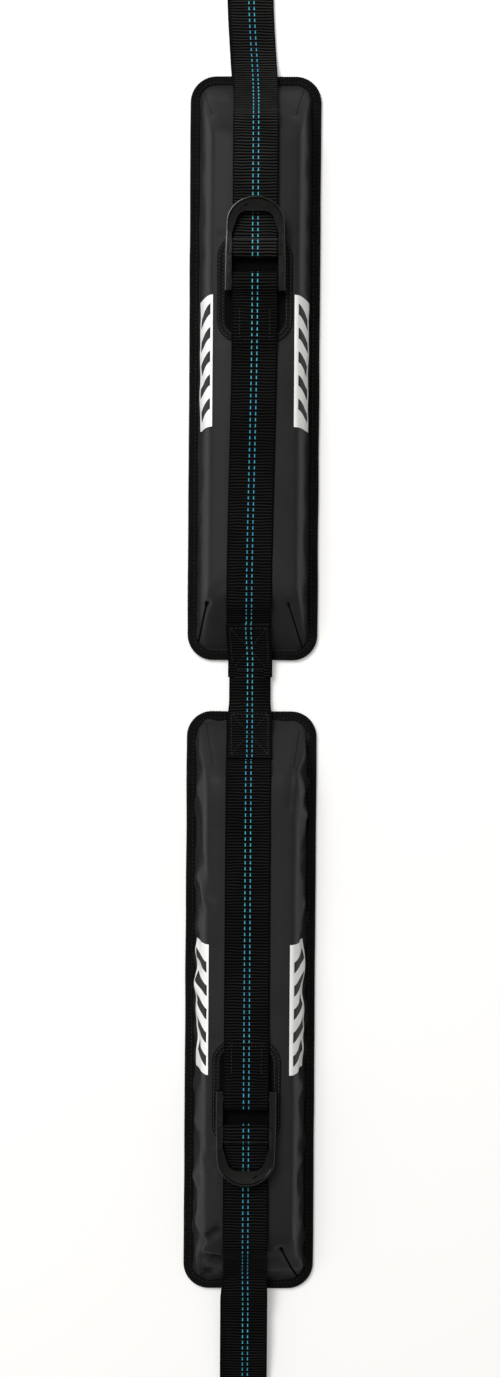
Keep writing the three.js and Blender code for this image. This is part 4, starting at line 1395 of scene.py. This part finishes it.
@dataclass
class Stitches:
    """Rows of thread, each stitch a small sunken loop copied from one."""

    length: float = 2.3 * MM
    pitch: float = 3.1 * MM
    radius: float = 0.28 * MM

    def one(self) -> Piece:
        """Model a single stitch along X, its ends sunk below Z = 0."""
        start_clean()
        bpy.ops.mesh.primitive_cylinder_add(vertices=6, radius=self.radius, depth=self.length,
                                            rotation=(0.0, math.pi / 2, 0.0))
        stitch = bpy.context.object
        stitch.name = "one_stitch"
        bpy.ops.object.transform_apply(location=True, rotation=True, scale=True)
        cut_across(stitch, [-self.length * 0.28, self.length * 0.28], 0)
        drop = self.radius * 1.5

        def sink(places: np.ndarray) -> np.ndarray:
            """Bow the stitch, its ends down and narrower."""
            ends = smooth_step(np.abs(places[:, 0]), self.length * 0.25, self.length * 0.5)
            places[:, 1] *= 1 - 0.4 * ends
            places[:, 2] = places[:, 2] * (1 - 0.4 * ends) - drop * ends + self.radius * 0.35
            return places

        bend_by(stitch, sink)
        return stitch

    def sew(self, name: str, rows: list[tuple[np.ndarray, np.ndarray]]) -> Piece:
        """Sew rows of stitches.

        Args:
            name: The piece's name.
            rows: For each row its points on the cloth and the cloth's way up at each.

        Returns:
            All stitches as one object.
        """
        model = self.one()
        pattern = np.array([vertex.co for vertex in model.data.vertices])
        shape = [tuple(face.vertices) for face in model.data.polygons]
        bpy.data.objects.remove(model)
        points, faces = [], []
        for route, ways in rows:
            lengths = measured(route)
            count = max(1, int(lengths[-1] / self.pitch))
            for at in (np.arange(count) + 0.5) * lengths[-1] / count:
                behind, spot, ahead = read_off(route, lengths, at + np.array([-0.2, 0.0, 0.2]) * MM)
                along = (ahead - behind) / max(np.linalg.norm(ahead - behind), 1e-9)
                up = read_off(ways, lengths, at)
                up = up - along * (up @ along)
                up /= max(np.linalg.norm(up), 1e-9)
                base = len(points) * len(pattern)
                points.append(spot + pattern @ np.stack([along, np.cross(up, along), up]))
                faces.extend(tuple(base + corner for corner in face) for face in shape)
        thread = sewn_mesh(name, np.vstack(points), faces)
        soften(thread, 80.0)
        return thread


@dataclass
class BucklePatch:
    """The patch sewn on the cover under the buckle, with a raised edge tape and two rows of stitches."""

    side: Side
    hardware: Hardware
    corner_radius: float = 19 * MM
    edge_width: float = 6.5 * MM
    edge_height: float = 0.5 * MM
    row_insets: Pair = (1.6 * MM, 5.0 * MM)
    bend_places: tuple[float, ...] = (-30, -25, -20, -10, 0, 10, 20, 25, 30)

    def build(self) -> Piece:
        """Make the patch, bent over the crown."""
        h = self.hardware
        half, thick = h.patch_half_width, h.patch_thickness
        patch = block(self.side.node("stitched_patch"), (-half, h.anchor - h.patch_inner_reach, 0.0),
                      (half, h.anchor + h.patch_outer_reach, thick - self.edge_height))
        round_edges(patch, lambda edge: stands(edge, height=thick / 4), self.corner_radius, 12)
        choose(patch, "faces", lambda face: face.normal.z > 0.9)
        bpy.ops.mesh.inset(thickness=self.edge_width, depth=0.0)
        choose(patch, "faces", lambda face: face.normal.z > 0.9 and face.calc_area() < half * half)
        bpy.ops.mesh.extrude_region_move(TRANSFORM_OT_translate={"value": (0.0, 0.0, self.edge_height)})
        start_clean()
        trim = patch.data.attributes.new("trim", "FLOAT", "FACE")
        raised = [face.center.z > thick - self.edge_height * 0.9 for face in patch.data.polygons]
        trim.data.foreach_set("value", [float(up) for up in raised])
        cut_across(patch, [place * MM for place in self.bend_places], 0)

        def over_crown(places: np.ndarray) -> np.ndarray:
            """Lay the flat patch on the pad's top."""
            places[:, 0] += h.middle * self.side.turn
            places[:, 2] += h.form.crown_height(places[:, 0]) + CLEARANCE
            return self.side.place(places)

        bend_by(patch, over_crown)
        round_sharp(patch, 0.3 * MM, 2, 40.0)
        soften(patch, 40.0)
        return patch

    def sew(self, stitches: Stitches) -> Piece:
        """Sew the patch's two rows round its edge tape."""
        h = self.hardware
        rows = []
        plan = rounded_plan(24, 16, 10)
        middle_y = h.anchor + (h.patch_outer_reach - h.patch_inner_reach) / 2
        half_length = (h.patch_outer_reach + h.patch_inner_reach) / 2
        for inset in self.row_insets:
            ring = rounded_ring(plan, h.patch_half_width - inset, half_length - inset, self.corner_radius - inset,
                                middle_y, 0.0)
            ring[:, 0] += h.middle * self.side.turn
            ring[:, 2] = h.form.crown_height(ring[:, 0]) + CLEARANCE + h.patch_thickness
            rows.append(closed_row(self.side.place(ring)))
        return stitches.sew(self.side.node("patch_thread"), rows)


@dataclass
class LadderBuckle:
    """A ladder-lock buckle: side rails that run on as a thin rim round a flanged finger loop, and two bars."""

    side: Side
    hardware: Hardware
    rise: float
    rim_round: float = 0.9 * MM
    rim_width: float = 0.6 * MM
    groove_width: float = 1.2 * MM
    groove_depth: float = 3.0 * MM
    flange_raise: float = 1.7 * MM
    ledge_start: float = 22 * MM
    loop_start: float = 49 * MM
    loop_reach: float = 21.6 * MM
    loop_half_width: float = 24.1 * MM
    finger_half_width: float = 13.4 * MM
    finger_end: float = 58.6 * MM
    finger_shoulder: float = 40.5 * MM
    edge_round: float = 0.5 * MM
    groove_wall: float = 0.05 * MM
    nose_cut: float = 2.8 * MM
    tip_round: float = 6 * MM
    cutter_past: float = 5 * MM
    bend_places: tuple[float, ...] = (-17, -11, -5.5, 0, 5.5, 11, 17)

    def rail_heights(self) -> Pair:
        """The rails' lower and upper height."""
        h = self.hardware
        return h.anchor_z - h.rail_height / 2, h.anchor_z + h.rail_height / 2

    def slab(self) -> Piece:
        """The whole outline as a slab with a rounded loop end."""
        h = self.hardware
        low, high = self.rail_heights()
        loop_y = h.anchor + self.loop_start
        end = loop_y + h.half_width
        slab = block("slab", (-h.half_width, h.anchor - h.nose_reach, low), (h.half_width, end, high))
        round_edges(slab, lambda edge: stands(edge, end - 1 * MM), h.half_width - 0.05 * MM, 18)
        cut_across(slab, [h.anchor + self.ledge_start, h.anchor + self.finger_shoulder], 1)

        def draw_in(places: np.ndarray) -> np.ndarray:
            """Flatten the round end and draw the loop in a little."""
            past = np.maximum(places[:, 1] - loop_y, 0.0)
            places[:, 1] -= past * (1 - self.loop_reach / h.half_width)
            narrow = smooth_step(places[:, 1], h.anchor + self.ledge_start, loop_y)
            places[:, 0] *= 1 - (1 - self.loop_half_width / h.half_width) * narrow
            return places

        bend_by(slab, draw_in)
        return slab

    def recess(self, slab: Piece) -> None:
        """Round the rim, sink a groove inside it and raise the flange within that."""
        ledge = self.hardware.anchor + self.ledge_start
        almost = self.rail_heights()[1] - 0.01 * MM

        def top_edge(edge: bmesh.types.BMEdge) -> bool:
            """Whether an edge runs round the slab's top."""
            return (min(vert.co.z for vert in edge.verts) > almost
                    and any(abs(face.normal.z) < 0.5 for face in edge.link_faces))

        round_edges(slab, top_edge, self.rim_round, 4)
        choose(slab, "faces", lambda face: face.calc_center_median().z > almost and face.calc_center_median().y > ledge)
        bpy.ops.mesh.inset(thickness=self.rim_width, depth=0.0)
        bpy.ops.mesh.inset(thickness=self.groove_wall, depth=-self.groove_depth)
        bpy.ops.mesh.inset(thickness=self.groove_width, depth=0.0)
        bpy.ops.mesh.inset(thickness=self.groove_wall, depth=self.flange_raise)
        start_clean()

    def finger_cutter(self) -> Piece:
        """The opening as a block: straight between the rails, then narrowing to a rounded tip."""
        h, past = self.hardware, self.cutter_past
        low, high = self.rail_heights()
        cutter = block("finger_cutter", (-h.rail_inner, h.anchor - h.nose_reach - past, low - past),
                       (h.rail_inner, h.anchor + self.finger_shoulder, high + past))
        choose(cutter, "faces", lambda face: face.normal.y > 0.9)
        bpy.ops.mesh.extrude_region_move(
            TRANSFORM_OT_translate={"value": (0.0, self.finger_end - self.finger_shoulder, 0.0)})
        start_clean()
        near_tip = h.anchor + self.finger_end - 1 * MM

        def taper(places: np.ndarray) -> np.ndarray:
            """Narrow the tip."""
            places[places[:, 1] > near_tip, 0] *= self.finger_half_width / h.rail_inner
            return places

        bend_by(cutter, taper)
        round_edges(cutter, lambda edge: stands(edge, near_tip), self.tip_round, 8)
        return cutter

    def merge(self, base: Piece, tool: Piece, operation: str) -> None:
        """Add or cut one solid with another, which is used up."""
        apply_modifier(base, "BOOLEAN", object=tool, operation=operation, solver="EXACT")
        bpy.data.objects.remove(tool)

    def bars(self) -> list[Piece]:
        """The round anchor bar and the flat middle bar."""
        h = self.hardware
        reach = h.rail_inner + h.rail_thickness / 2
        start_clean()
        bpy.ops.mesh.primitive_cylinder_add(vertices=32, radius=h.bar_radius, depth=2 * reach,
                                            location=(0.0, h.anchor, h.anchor_z), rotation=(0.0, math.pi / 2, 0.0))
        anchor_bar = bpy.context.object
        bpy.ops.object.transform_apply(location=True, rotation=True, scale=True)
        bar_z = h.fold_top + CLEARANCE
        start = h.anchor + h.middle_bar_start
        middle_bar = block("middle_bar", (-reach, start, bar_z),
                           (reach, start + h.middle_bar_width, bar_z + h.middle_bar_height))
        apply_modifier(middle_bar, "BEVEL", width=1 * MM, segments=3)
        return [anchor_bar, middle_bar]

    def build(self) -> Piece:
        """Make the buckle as one moulding."""
        h = self.hardware
        body = self.slab()
        self.recess(body)
        self.merge(body, self.finger_cutter(), "DIFFERENCE")
        for bar in self.bars():
            self.merge(body, bar, "UNION")
        body.name = body.data.name = self.side.node("ladder_buckle")
        rise_from = h.anchor + h.loop_rise_start
        rise_to = h.anchor + self.loop_start + self.loop_reach
        cut_across(body, np.linspace(rise_from, rise_to, 12)[1:-1].tolist(), 1)
        cut_across(body, [place * MM for place in self.bend_places], 0)
        low, _ = self.rail_heights()

        def tip_up(places: np.ndarray) -> np.ndarray:
            """Lift the loop towards its end, cut the noses back below, and set the buckle in its place."""
            share = np.clip((places[:, 1] - rise_from) / (rise_to - rise_from), 0.0, 1.0)
            places[:, 2] += self.rise * share ** 1.6
            nose = (places[:, 1] < h.anchor - h.nose_reach + 0.1 * MM) & (places[:, 2] < low + 0.1 * MM)
            places[nose, 2] += self.nose_cut
            places[:, 0] += h.middle * self.side.turn
            return self.side.place(places)

        bend_by(body, tip_up)
        turn_outward(body, weld=WELD)
        round_sharp(body, self.edge_round, 3, 38.0)
        soften(body, 38.0)
        apply_modifier(body, "WEIGHTED_NORMAL", keep_sharp=True)
        return body


@dataclass
class PadStrap:
    """The webbing sewn along a pad and round the buckle's anchor bar."""

    side: Side
    hardware: Hardware
    sway: float

    def middle(self, y: np.ndarray, _: np.ndarray | None = None) -> np.ndarray:
        """The strap's middle along X, swaying off line towards the gap and half back at its end."""
        off_line = smooth_fall(np.abs(y), 53 * MM, 318 * MM)
        return self.hardware.middle - self.sway * (off_line - 0.45 * smooth_fall(np.abs(y), 22 * MM, 48 * MM))

    def build(self) -> Piece:
        """Make the strap."""
        return Ribbon().build(self.side.node("pad_webbing"), self.side, self.hardware.pad_strap_route(), self.middle)

    def sew(self, stitches: Stitches) -> Piece:
        """Sew the box that holds the fold: two rows along it and three across."""
        seams = [((x, -14), (x, -46)) for x in (-12.5, 12.5)]
        seams += [((-16, -reach), (16, -reach)) for reach in (14, 44, 46.5)]
        return stitches.sew(self.side.node("pad_strap_thread"), [self.row(*seam) for seam in seams])

    def row(self, start: Pair, end: Pair) -> tuple[np.ndarray, np.ndarray]:
        """A straight row on the strap's top, in millimetres across and outward from the anchor bar."""
        h = self.hardware
        ends = np.array([[x * MM, h.anchor + y * MM, h.fold_top + h.layer] for x, y in (start, end)])
        shift = self.middle(ends[:1, 1] * self.side.turn)[0]
        return self.side.place(ends) + np.array([shift, 0.0, 0.0]), np.tile(UP, (2, 1))


@dataclass
class JoiningStrap:
    """The short strap sewn over both pad straps, its edges curled down across the gap."""

    left: Hardware
    reach_left: float = 52.5 * MM
    reach_right: float = 61 * MM

    def middle(self, y: np.ndarray, _: np.ndarray | None = None) -> np.ndarray:
        """The strap's middle along X."""
        return -1.9 * MM - 1.7 * MM * smooth_step(y, 20 * MM, 52 * MM)

    def cup(self, y: np.ndarray) -> np.ndarray:
        """How far the edges curl, most in the gap."""
        return 0.26 * smooth_fall(np.abs(y), 12 * MM, 34 * MM)

    def face(self) -> np.ndarray:
        """The strap's middle line, from the right pad to the left."""
        half = moved_left(self.left.join_route(), self.left.layer * 1.5 - CLEARANCE / 2)
        right = up_to(half, self.reach_right) * np.array([-1.0, 1.0])
        return np.vstack([right[::-1], up_to(half, self.reach_left)[1:]])

    def build(self) -> Piece:
        """Make the strap."""
        route = paced(eased(self.face(), 1), 1.6 * MM)
        return Ribbon().build("joining_webbing", Side.LEFT, route, self.middle, self.cup)

    def sew(self, stitches: Stitches) -> Piece:
        """Sew a row across the gap and a crossed box at each end."""
        rows = [self.row((-16 * MM, 7 * MM), (16 * MM, 7 * MM))]
        half = 15.5 * MM
        for inner, outer in ((14 * MM, 49 * MM), (-24 * MM, -57.5 * MM)):
            corners = [(-half, inner), (half, inner), (half, outer), (-half, outer)]
            for start, end in ((0, 1), (1, 2), (2, 3), (3, 0), (0, 2), (1, 3)):
                rows.append(self.row(corners[start], corners[end]))
        return stitches.sew("joining_thread", rows)

    def row(self, start: Pair, end: Pair) -> tuple[np.ndarray, np.ndarray]:
        """A row that follows the strap's upper face between two places, given across and along."""
        face = moved_left(self.face(), (self.left.layer - CLEARANCE) / 2)
        x, y = np.linspace(start, end, 24).T
        tilt = np.interp(y, face[:, 0], np.gradient(face[:, 1], face[:, 0]))
        half = WEBBING_WIDTH / 2
        curl, share = self.cup(y), x / half
        z = np.interp(y, face[:, 0], face[:, 1]) - curl * share ** 2 * half
        ways = np.stack([2 * curl * share, -tilt, np.ones(len(tilt))], axis=1)
        return np.stack([x * narrowed(curl) + self.middle(y), y, z], axis=1), ways


@dataclass(frozen=True)
class StrapLie:
    """How a load strap lies past its pad along X, and how bright its ribs are painted, brighter on one strap as a
    painted sheen.

    The tail and the layer under it each slip a little off the strap's leaning line.
    """

    lean: float
    tail_slip: float
    under_slip: float
    ridge: float


@dataclass
class LoadStrap:
    """The long strap: tail, turn over the buckle's middle bar, run to the ground and roll."""

    side: Side
    hardware: Hardware
    lie: StrapLie

    def route(self) -> np.ndarray:
        """The strap's evenly spaced middle line."""
        return paced(eased(self.hardware.load_strap_route(), 2), 1.5 * MM)

    def fold_place(self) -> float:
        """How far along the strap its outer fold at the middle bar lies."""
        route = self.route()
        h = self.hardware
        fold = np.array([h.anchor + h.middle_bar_start + h.middle_bar_width + 1.0 * MM,
                         h.fold_top + h.middle_bar_height + 0.6 * MM])
        first = route[: len(route) // 3]
        return measured(route)[np.argmin(np.linalg.norm(first - fold, axis=1))]

    def middle(self, y: np.ndarray, along: np.ndarray) -> np.ndarray:
        """The strap's middle along X, leaning off line past the pad and back to the roll."""
        away = smooth_step(np.abs(y), 490 * MM, 600 * MM)
        past = smooth_step(np.abs(y), 500 * MM, 530 * MM)
        back = smooth_step(np.abs(y), 600 * MM, 628 * MM)
        under = smooth_step(along, self.fold_place(), self.fold_place() + 60 * MM)
        slip = self.lie.tail_slip * (1 - under) + self.lie.under_slip * under
        return self.hardware.middle + (slip * past - self.lie.lean * away) * (1 - back)

    def build(self) -> Piece:
        """Make the strap as one length of webbing."""
        return Ribbon().build(self.side.node("load_webbing"), self.side, self.route(), self.middle)


@dataclass
class RollTie:
    """A loop of tape through the roll and round its outer side."""

    side: Side
    thickness: float = 1.2 * MM

    def build(self) -> Piece:
        """Make the loop from the frame's box of its node."""
        low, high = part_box(self.side.node("roll_tie"))
        tie = block(self.side.node("hook_tape_tie"), tuple(low), tuple(high))
        choose(tie, "faces", lambda face: abs(face.normal.z) > 0.9)
        bpy.ops.mesh.delete(type="ONLY_FACE")
        round_edges(tie, stands, 2.2 * MM, 6)
        turn_outward(tie)
        apply_modifier(tie, "SOLIDIFY", thickness=self.thickness, offset=-1.0)
        round_sharp(tie, 0.25 * MM, 2, 50.0)
        soften(tie, 40.0)
        return tie


@dataclass(frozen=True)
class Studio:
    """A white studio lit from the upper left, seen straight down as in the photograph."""

    distance: float = 1.470
    target: Pair = (-1.8 * MM, -2.45 * MM)
    pitch: float = math.radians(0.92)
    roll: float = math.radians(0.39)
    frame_height: float = 1377 * 0.8636 * MM
    sensor: float = 36.0
    key_place: tuple[float, float, float] = (-1.35, 1.75, 3.4)
    key_size: float = 1.9
    key_power: float = 135.0
    sky_low: float = 0.12
    sky_high: float = 0.52
    overhead: float = 0.45

    def build(self, groups: Groups) -> None:
        """Set camera, lamp, sky and floor."""
        self.camera()
        self.key_lamp()
        self.sky()
        self.floor(groups)
        bpy.context.scene.view_settings.view_transform = "Standard"

    def camera(self) -> None:
        """Place the camera over the rack."""
        data = bpy.data.cameras.new("overhead_camera")
        data.sensor_width = self.sensor
        data.lens = self.sensor * self.distance / self.frame_height
        data.clip_start, data.clip_end = 0.05, 50.0
        camera = bpy.data.objects.new("overhead_camera", data)
        turn = Matrix.Rotation(-self.pitch, 4, "X") @ Matrix.Rotation(self.roll, 4, "Z")
        back = turn @ Vector((0.0, 0.0, self.distance))
        camera.matrix_world = Matrix.Translation(Vector((*self.target, 0.0)) + back) @ turn
        bpy.context.scene.collection.objects.link(camera)
        bpy.context.scene.camera = camera

    def key_lamp(self) -> None:
        """Hang a large soft lamp to the upper left."""
        data = bpy.data.lights.new("key_lamp", "AREA")
        data.shape, data.size, data.energy = "SQUARE", self.key_size, self.key_power
        lamp = bpy.data.objects.new("key_lamp", data)
        lamp.location = self.key_place
        lamp.rotation_euler = (-Vector(self.key_place)).to_track_quat("-Z", "Y").to_euler()
        bpy.context.scene.collection.objects.link(lamp)

    def sky(self) -> None:
        """Light softly from all round, darker overhead where the camera hangs, over a white horizon."""
        world = bpy.data.worlds.new("studio")
        world.use_nodes = True
        bpy.context.scene.world = world
        tree = Tree(world.node_tree)
        background = next(node for node in world.node_tree.nodes if node.type == "BACKGROUND")
        right, ahead, up = tree.parts(tree.add("ShaderNodeTexCoord").outputs["Generated"])
        lean = tree.math("MULTIPLY_ADD", ahead, 0.35, tree.math("MULTIPLY", right, -0.2))
        glow = tree.spread(tree.rise(tree.math("ADD", up, lean), -0.1, 1.0), self.sky_low, self.sky_high)
        glow = tree.math("MULTIPLY", glow, tree.spread(tree.rise(up, 0.93, 0.985), 1.0, self.overhead))
        horizon = tree.fall(up, 0.02, 0.06)
        strength = tree.add("ShaderNodeMix", {0: horizon, 2: glow, 3: 1.0}, data_type="FLOAT").outputs[0]
        tint = tree.blend(horizon, (1.0, 0.985, 0.94, 1.0), WHITE)
        tree.feed(background, {"Color": tint, "Strength": strength})

    def floor(self, groups: Groups) -> None:
        """Lay a white floor that keeps the rack's shadow."""
        start_clean()
        bpy.ops.mesh.primitive_plane_add(size=8.0)
        floor = bpy.context.object
        floor.name = "studio_floor"
        floor.data.materials.append(Paper().build(groups))
        floor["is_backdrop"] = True


def darts_from(*rows: tuple[float, ...]) -> tuple[Dart, ...]:
    """Darts from rows in millimetres: top X and Y, foot X and Y, depth and the width of the shade painted along the
    seam, then that painted shade's strength.
    """
    return tuple(Dart((x * MM, y * MM), (foot_x * MM, foot_y * MM), depth * MM, slit * MM, shade)
                 for x, y, foot_x, foot_y, depth, slit, shade in rows)


def creases_from(*rows: tuple[float, ...]) -> tuple[Crease, ...]:
    """Creases from rows in millimetres: start X and Y, end X and Y, depth and width."""
    return tuple(Crease((x * MM, y * MM), (end_x * MM, end_y * MM), depth * MM, width * MM)
                 for x, y, end_x, end_y, depth, width in rows)


LEFT_DARTS = darts_from(
    (-38.8, 70.0, -47.0, 35.4, 1.2, 1.3, 1.0),
    (30.1, 69.3, 43.0, 32.8, 1.1, 0.9, 0.9),
    (-36.9, 480.4, -45.4, 510.3, 0.6, 0.35, 0.4),
    (33.8, 480.4, 41.3, 510.9, 0.7, 0.4, 0.55),
)
RIGHT_DARTS = darts_from(
    (-32.9, -66.2, -39.4, -31.4, 0.8, 0.35, 0.35),
    (35.8, -67.6, 40.5, -38.6, 1.0, 0.4, 0.6),
    (27.5, -475.6, 43.1, -512.5, 1.0, 1.1, 1.0),
    (-39.4, -470.0, -41.5, -509.2, 1.4, 0.3, 0.3),
    # The next three rows have no depth: they only paint shade into folds near the pad's outer end.
    (-33.0, -464.0, -24.5, -457.1, 0.0, 3.2, 0.35),
    (-24.0, -486.9, -35.0, -484.6, 0.0, 2.6, 0.3),
    (-36.0, -505.0, -39.5, -509.6, 0.0, 3.0, 0.45),
)
LEFT_CREASES = creases_from(
    (-38, 72, -22, 86, 0.7, 4.5),
    (31, 72, 21, 92, 0.6, 4.5),
    (-35, 478, -22, 468, 0.4, 5),
    (33, 478, 22, 468, 0.4, 5),
)
RIGHT_CREASES = creases_from(
    (33.9, -74.7, 32.4, -99.9, 1.7, 3.4),
    (38.2, -77.6, 44.4, -110.4, -1.5, 3.4),
    (41.9, -71.5, 47.9, -89.3, 1.3, 3.0),
    (39.2, -108.6, 42.9, -143.9, -0.6, 5),
    (-33.0, -70.0, -30.0, -118.0, 0.5, 4.5),
    (-45.5, -152.0, -37.7, -182.4, -1.7, 3.0),
    (-47.5, -165.4, -42.2, -190.9, 1.4, 3.0),
    (-41.1, -147.6, -31.7, -176.1, 0.9, 4.0),
    (-44.7, -389.0, -35.3, -407.6, -1.2, 4.0),
    (-39.5, -386.4, -30.1, -404.9, 1.2, 4.0),
    (-43.9, -419.7, -41.6, -462.3, -1.2, 2.6),
    (-35.2, -465.6, -24.5, -457.1, 4.4, 4.0),
    (-36.6, -477.0, -23.1, -479.5, -2.4, 3.2),
    (-36.7, -484.4, -23.1, -486.9, 3.8, 3.4),
    (-39.8, -480.5, -44.4, -502.0, -1.7, 2.4),
    (-37.7, -485.7, -40.6, -499.4, 1.4, 2.4),
    (-40.0, -509.6, -33.9, -503.3, 4.0, 3.6),
    (35.8, -66.0, 38.0, -67.4, -1.4, 2.2),
    (-30.1, -502.9, -25.8, -504.6, -1.9, 4.0),
    (22.0, -486.0, 30.0, -500.0, 1.6, 4.5),
    (30.0, -408.0, 33.0, -452.0, 0.7, 6.0),
)


@dataclass
class RackSide:
    """One pad with everything on it."""

    side: Side
    frame: dict[str, object]
    form: PadForm
    wardrobe: Wardrobe
    stitches: Stitches
    darts: tuple[Dart, ...]
    creases: tuple[Crease, ...]
    slack: float
    sway: float
    lie: StrapLie
    rise: float
    hardware: Hardware = field(init=False)

    def __post_init__(self) -> None:
        """Read the side's hardware sizes from the frame."""
        self.hardware = Hardware.from_frame(self.side, self.form, self.frame["joints"])

    def build(self) -> None:
        """Build, dress and place the side's pieces."""
        cover = self.build_cover()
        self.build_prints(cover)
        self.build_edge()
        self.build_patch()
        self.build_pad_strap()
        buckle = LadderBuckle(self.side, self.hardware, self.rise).build()
        self.finish(buckle, MouldedPlastic(), "buckle_plastic", "buckle", body=self.side.node("buckle_body"))
        self.build_load_strap()
        tie = RollTie(self.side).build()
        self.finish(tie, WovenCloth("tie_tape_black", 0.006, 0.014, 0.0007), "tie_tape", "roll_tie")
        log.info("built the %s pad", self.side.value)

    def finish(self, piece: Piece, look: Finish, slot: str, *stands_for: str, body: str = "rack") -> Piece:
        """Dress a piece, let it ride and hide the nodes that it stands for.

        Args:
            piece: The piece.
            look: Its finish.
            slot: Not used.
            stands_for: The parts whose nodes it replaces.
            body: The body that it rides on.

        Returns:
            The piece.
        """
        self.wardrobe.dress(piece, look, slot)
        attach(piece, body)
        if stands_for:
            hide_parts(*(self.side.node(part) for part in stands_for))
        log.info("%s: %d faces", piece.name, len(piece.data.polygons))
        return piece

    def lay(self, piece: Piece, width: float, length: float, under: str = "padded_cover") -> None:
        """Form the name of the node that a piece lies on, and do nothing more."""
        self.side.node(under)

    def build_cover(self) -> Piece:
        """The padded cover over the foam."""
        h = self.hardware
        low, high = sorted((h.anchor + reach) * self.side.turn for reach in (-h.patch_inner_reach, h.patch_outer_reach))
        cover = PadCover(self.side, self.form, self.darts, self.creases, self.slack, h.middle,
                         (low, high, h.patch_half_width)).build()
        look = CoatedCloth(self.side.node("coated_cloth"), self.darts)
        self.finish(cover, look, "coated_cloth", "cover", "foam_core")
        return cover

    def build_prints(self, cover: Piece) -> None:
        """The printed panels on both long walls."""
        form, turn = self.form, self.side.turn
        border, bar_width, slant, count = 7 * MM, 9 * MM, 8 * MM, 5
        low = form.foot_z + form.hem_height + border * 0.7
        high = form.top - form.crown_rise - 1.2 * MM
        wall = measured(form.stations()[1:-1, :2])[-1]
        for facing, inner, part in ((-1.0, 34.8 * MM, "front_panel"), (1.0, 33.2 * MM, "rear_panel")):
            panel = PrintedPanel(self.side, form, facing, inner)
            step = (panel.length - 2 * border - bar_width - slant) / (count - 1)
            start = turn * (form.middle - panel.length / 2 + border)
            look = PrintedFilm(self.side.node("print_white"), start, turn * step, count, bar_width, low, high,
                               turn * slant)
            piece = self.finish(panel.build(cover), look, "print", part)
            self.lay(piece, round(wall, 4), panel.length)

    def build_edge(self) -> None:
        """The binding tape, its stitches and the base sheet's finish."""
        form = self.form
        piece = EdgeBinding(self.side, form, self.slack * 1.3).build()
        self.finish(piece, BindingTape(), "binding_tape", "edge_binding")
        round_it = 4 * (form.half_length + form.half_width)
        self.lay(piece, FLAT_BINDING_WIDTH, round(round_it, 3), "base_sheet")
        ring = form.ring(rounded_plan(100, 20, 10), form.binding_width - 2.2 * MM, form.binding_top + 0.05 * MM)
        row = closed_row(self.side.place(ring))
        thread = Stitches(pitch=3.6 * MM).sew(self.side.node("binding_thread"), [row])
        self.finish(thread, Thread("binding_thread_black", 0.008), "binding_tape")
        look = WovenCloth("base_cloth_grip", 0.008, 0.018, 0.0011, 0.3 * MM, grip_pitch=4 * MM)
        self.wardrobe.dress(self.frame["nodes"][self.side.node("base_sheet")], look, "base_cloth")

    def build_patch(self) -> None:
        """The stitched patch under the buckle."""
        h = self.hardware
        patch = BucklePatch(self.side, h)
        look = WovenCloth("patch_cloth_black", 0.0004, 0.0026, 0.0014, 0.4 * MM, sheen=0.07)
        piece = self.finish(patch.build(), look, "patch_cloth", "buckle_patch")
        self.lay(piece, 2 * h.patch_half_width, h.patch_inner_reach + h.patch_outer_reach)
        self.finish(patch.sew(self.stitches), Thread("patch_thread_black", 0.035), "patch_cloth")

    def build_pad_strap(self) -> None:
        """The webbing sewn along the pad."""
        strap = PadStrap(self.side, self.hardware, self.sway)
        piece = self.finish(strap.build(), Webbing(), "webbing", "pad_strap")
        self.lay(piece, WEBBING_WIDTH, round(measured(self.hardware.pad_strap_route())[-1], 3))
        self.finish(strap.sew(self.stitches), Thread(), "webbing")

    def build_load_strap(self) -> None:
        """The load strap with its roll."""
        h = self.hardware
        strap = LoadStrap(self.side, h, self.lie)
        piece = strap.build()
        # The ribs' painted brightness comes from the lie, and the fold gets a painted highlight.
        look = Webbing(self.side.node("webbing_folded"), worn_at=strap.fold_place(), ridge=self.lie.ridge)
        self.wardrobe.dress(piece, look, "webbing")
        parts = ("load_strap", "strap_wrap", "strap_tail", "strap_roll")
        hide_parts(*(self.side.node(part) for part in parts))
        far, near = ((h.middle, (h.anchor + reach) * self.side.turn, h.form.top) for reach in (150 * MM, 48 * MM))
        self.side.node("buckle_body")
        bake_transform(piece)
        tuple(far)
        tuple(near)
        length = measured(h.load_strap_route())[-1]
        self.lay(piece, WEBBING_WIDTH, round(length, 3))
        log.info("%s: %d faces, %.3f m of webbing", piece.name, len(piece.data.polygons), length)

    def build_join(self) -> None:
        """Build the strap that joins this pad to the other."""
        strap = JoiningStrap(self.hardware)
        piece = self.finish(strap.build(), Webbing(), "webbing")
        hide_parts("joining_strap")
        round(measured(strap.face())[-1], 3)
        self.finish(strap.sew(self.stitches), Thread(), "webbing")


def main() -> None:
    """Load the frame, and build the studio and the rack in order."""
    logging.basicConfig(level=logging.INFO, format="%(message)s")
    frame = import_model()
    cad_box = [list(corner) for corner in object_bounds()]
    wardrobe = Wardrobe()
    Studio().build(wardrobe.groups)
    shared = (frame, PadForm.from_frame(), wardrobe, Stitches())
    # The left strap's ribs are painted brighter than the right one's, as a painted sheen of the lamp's light.
    left = RackSide(Side.LEFT, *shared, LEFT_DARTS, LEFT_CREASES, slack=0.25 * MM, sway=3.2 * MM,
                    lie=StrapLie(5.0 * MM, 0.2 * MM, -1.3 * MM, 0.028), rise=2.0 * MM)
    right = RackSide(Side.RIGHT, *shared, RIGHT_DARTS, RIGHT_CREASES, slack=0.9 * MM, sway=0.0,
                     lie=StrapLie(0.0, 0.4 * MM, -2.2 * MM, 0.0115), rise=6.5 * MM)
    left.build()
    right.build()
    left.build_join()
    sizes = {"cad": cad_box, "visual": [list(corner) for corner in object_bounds()]}
    log.info("cad box %s, visual box %s", sizes["cad"], sizes["visual"])


if __name__ == "__main__":
    main()
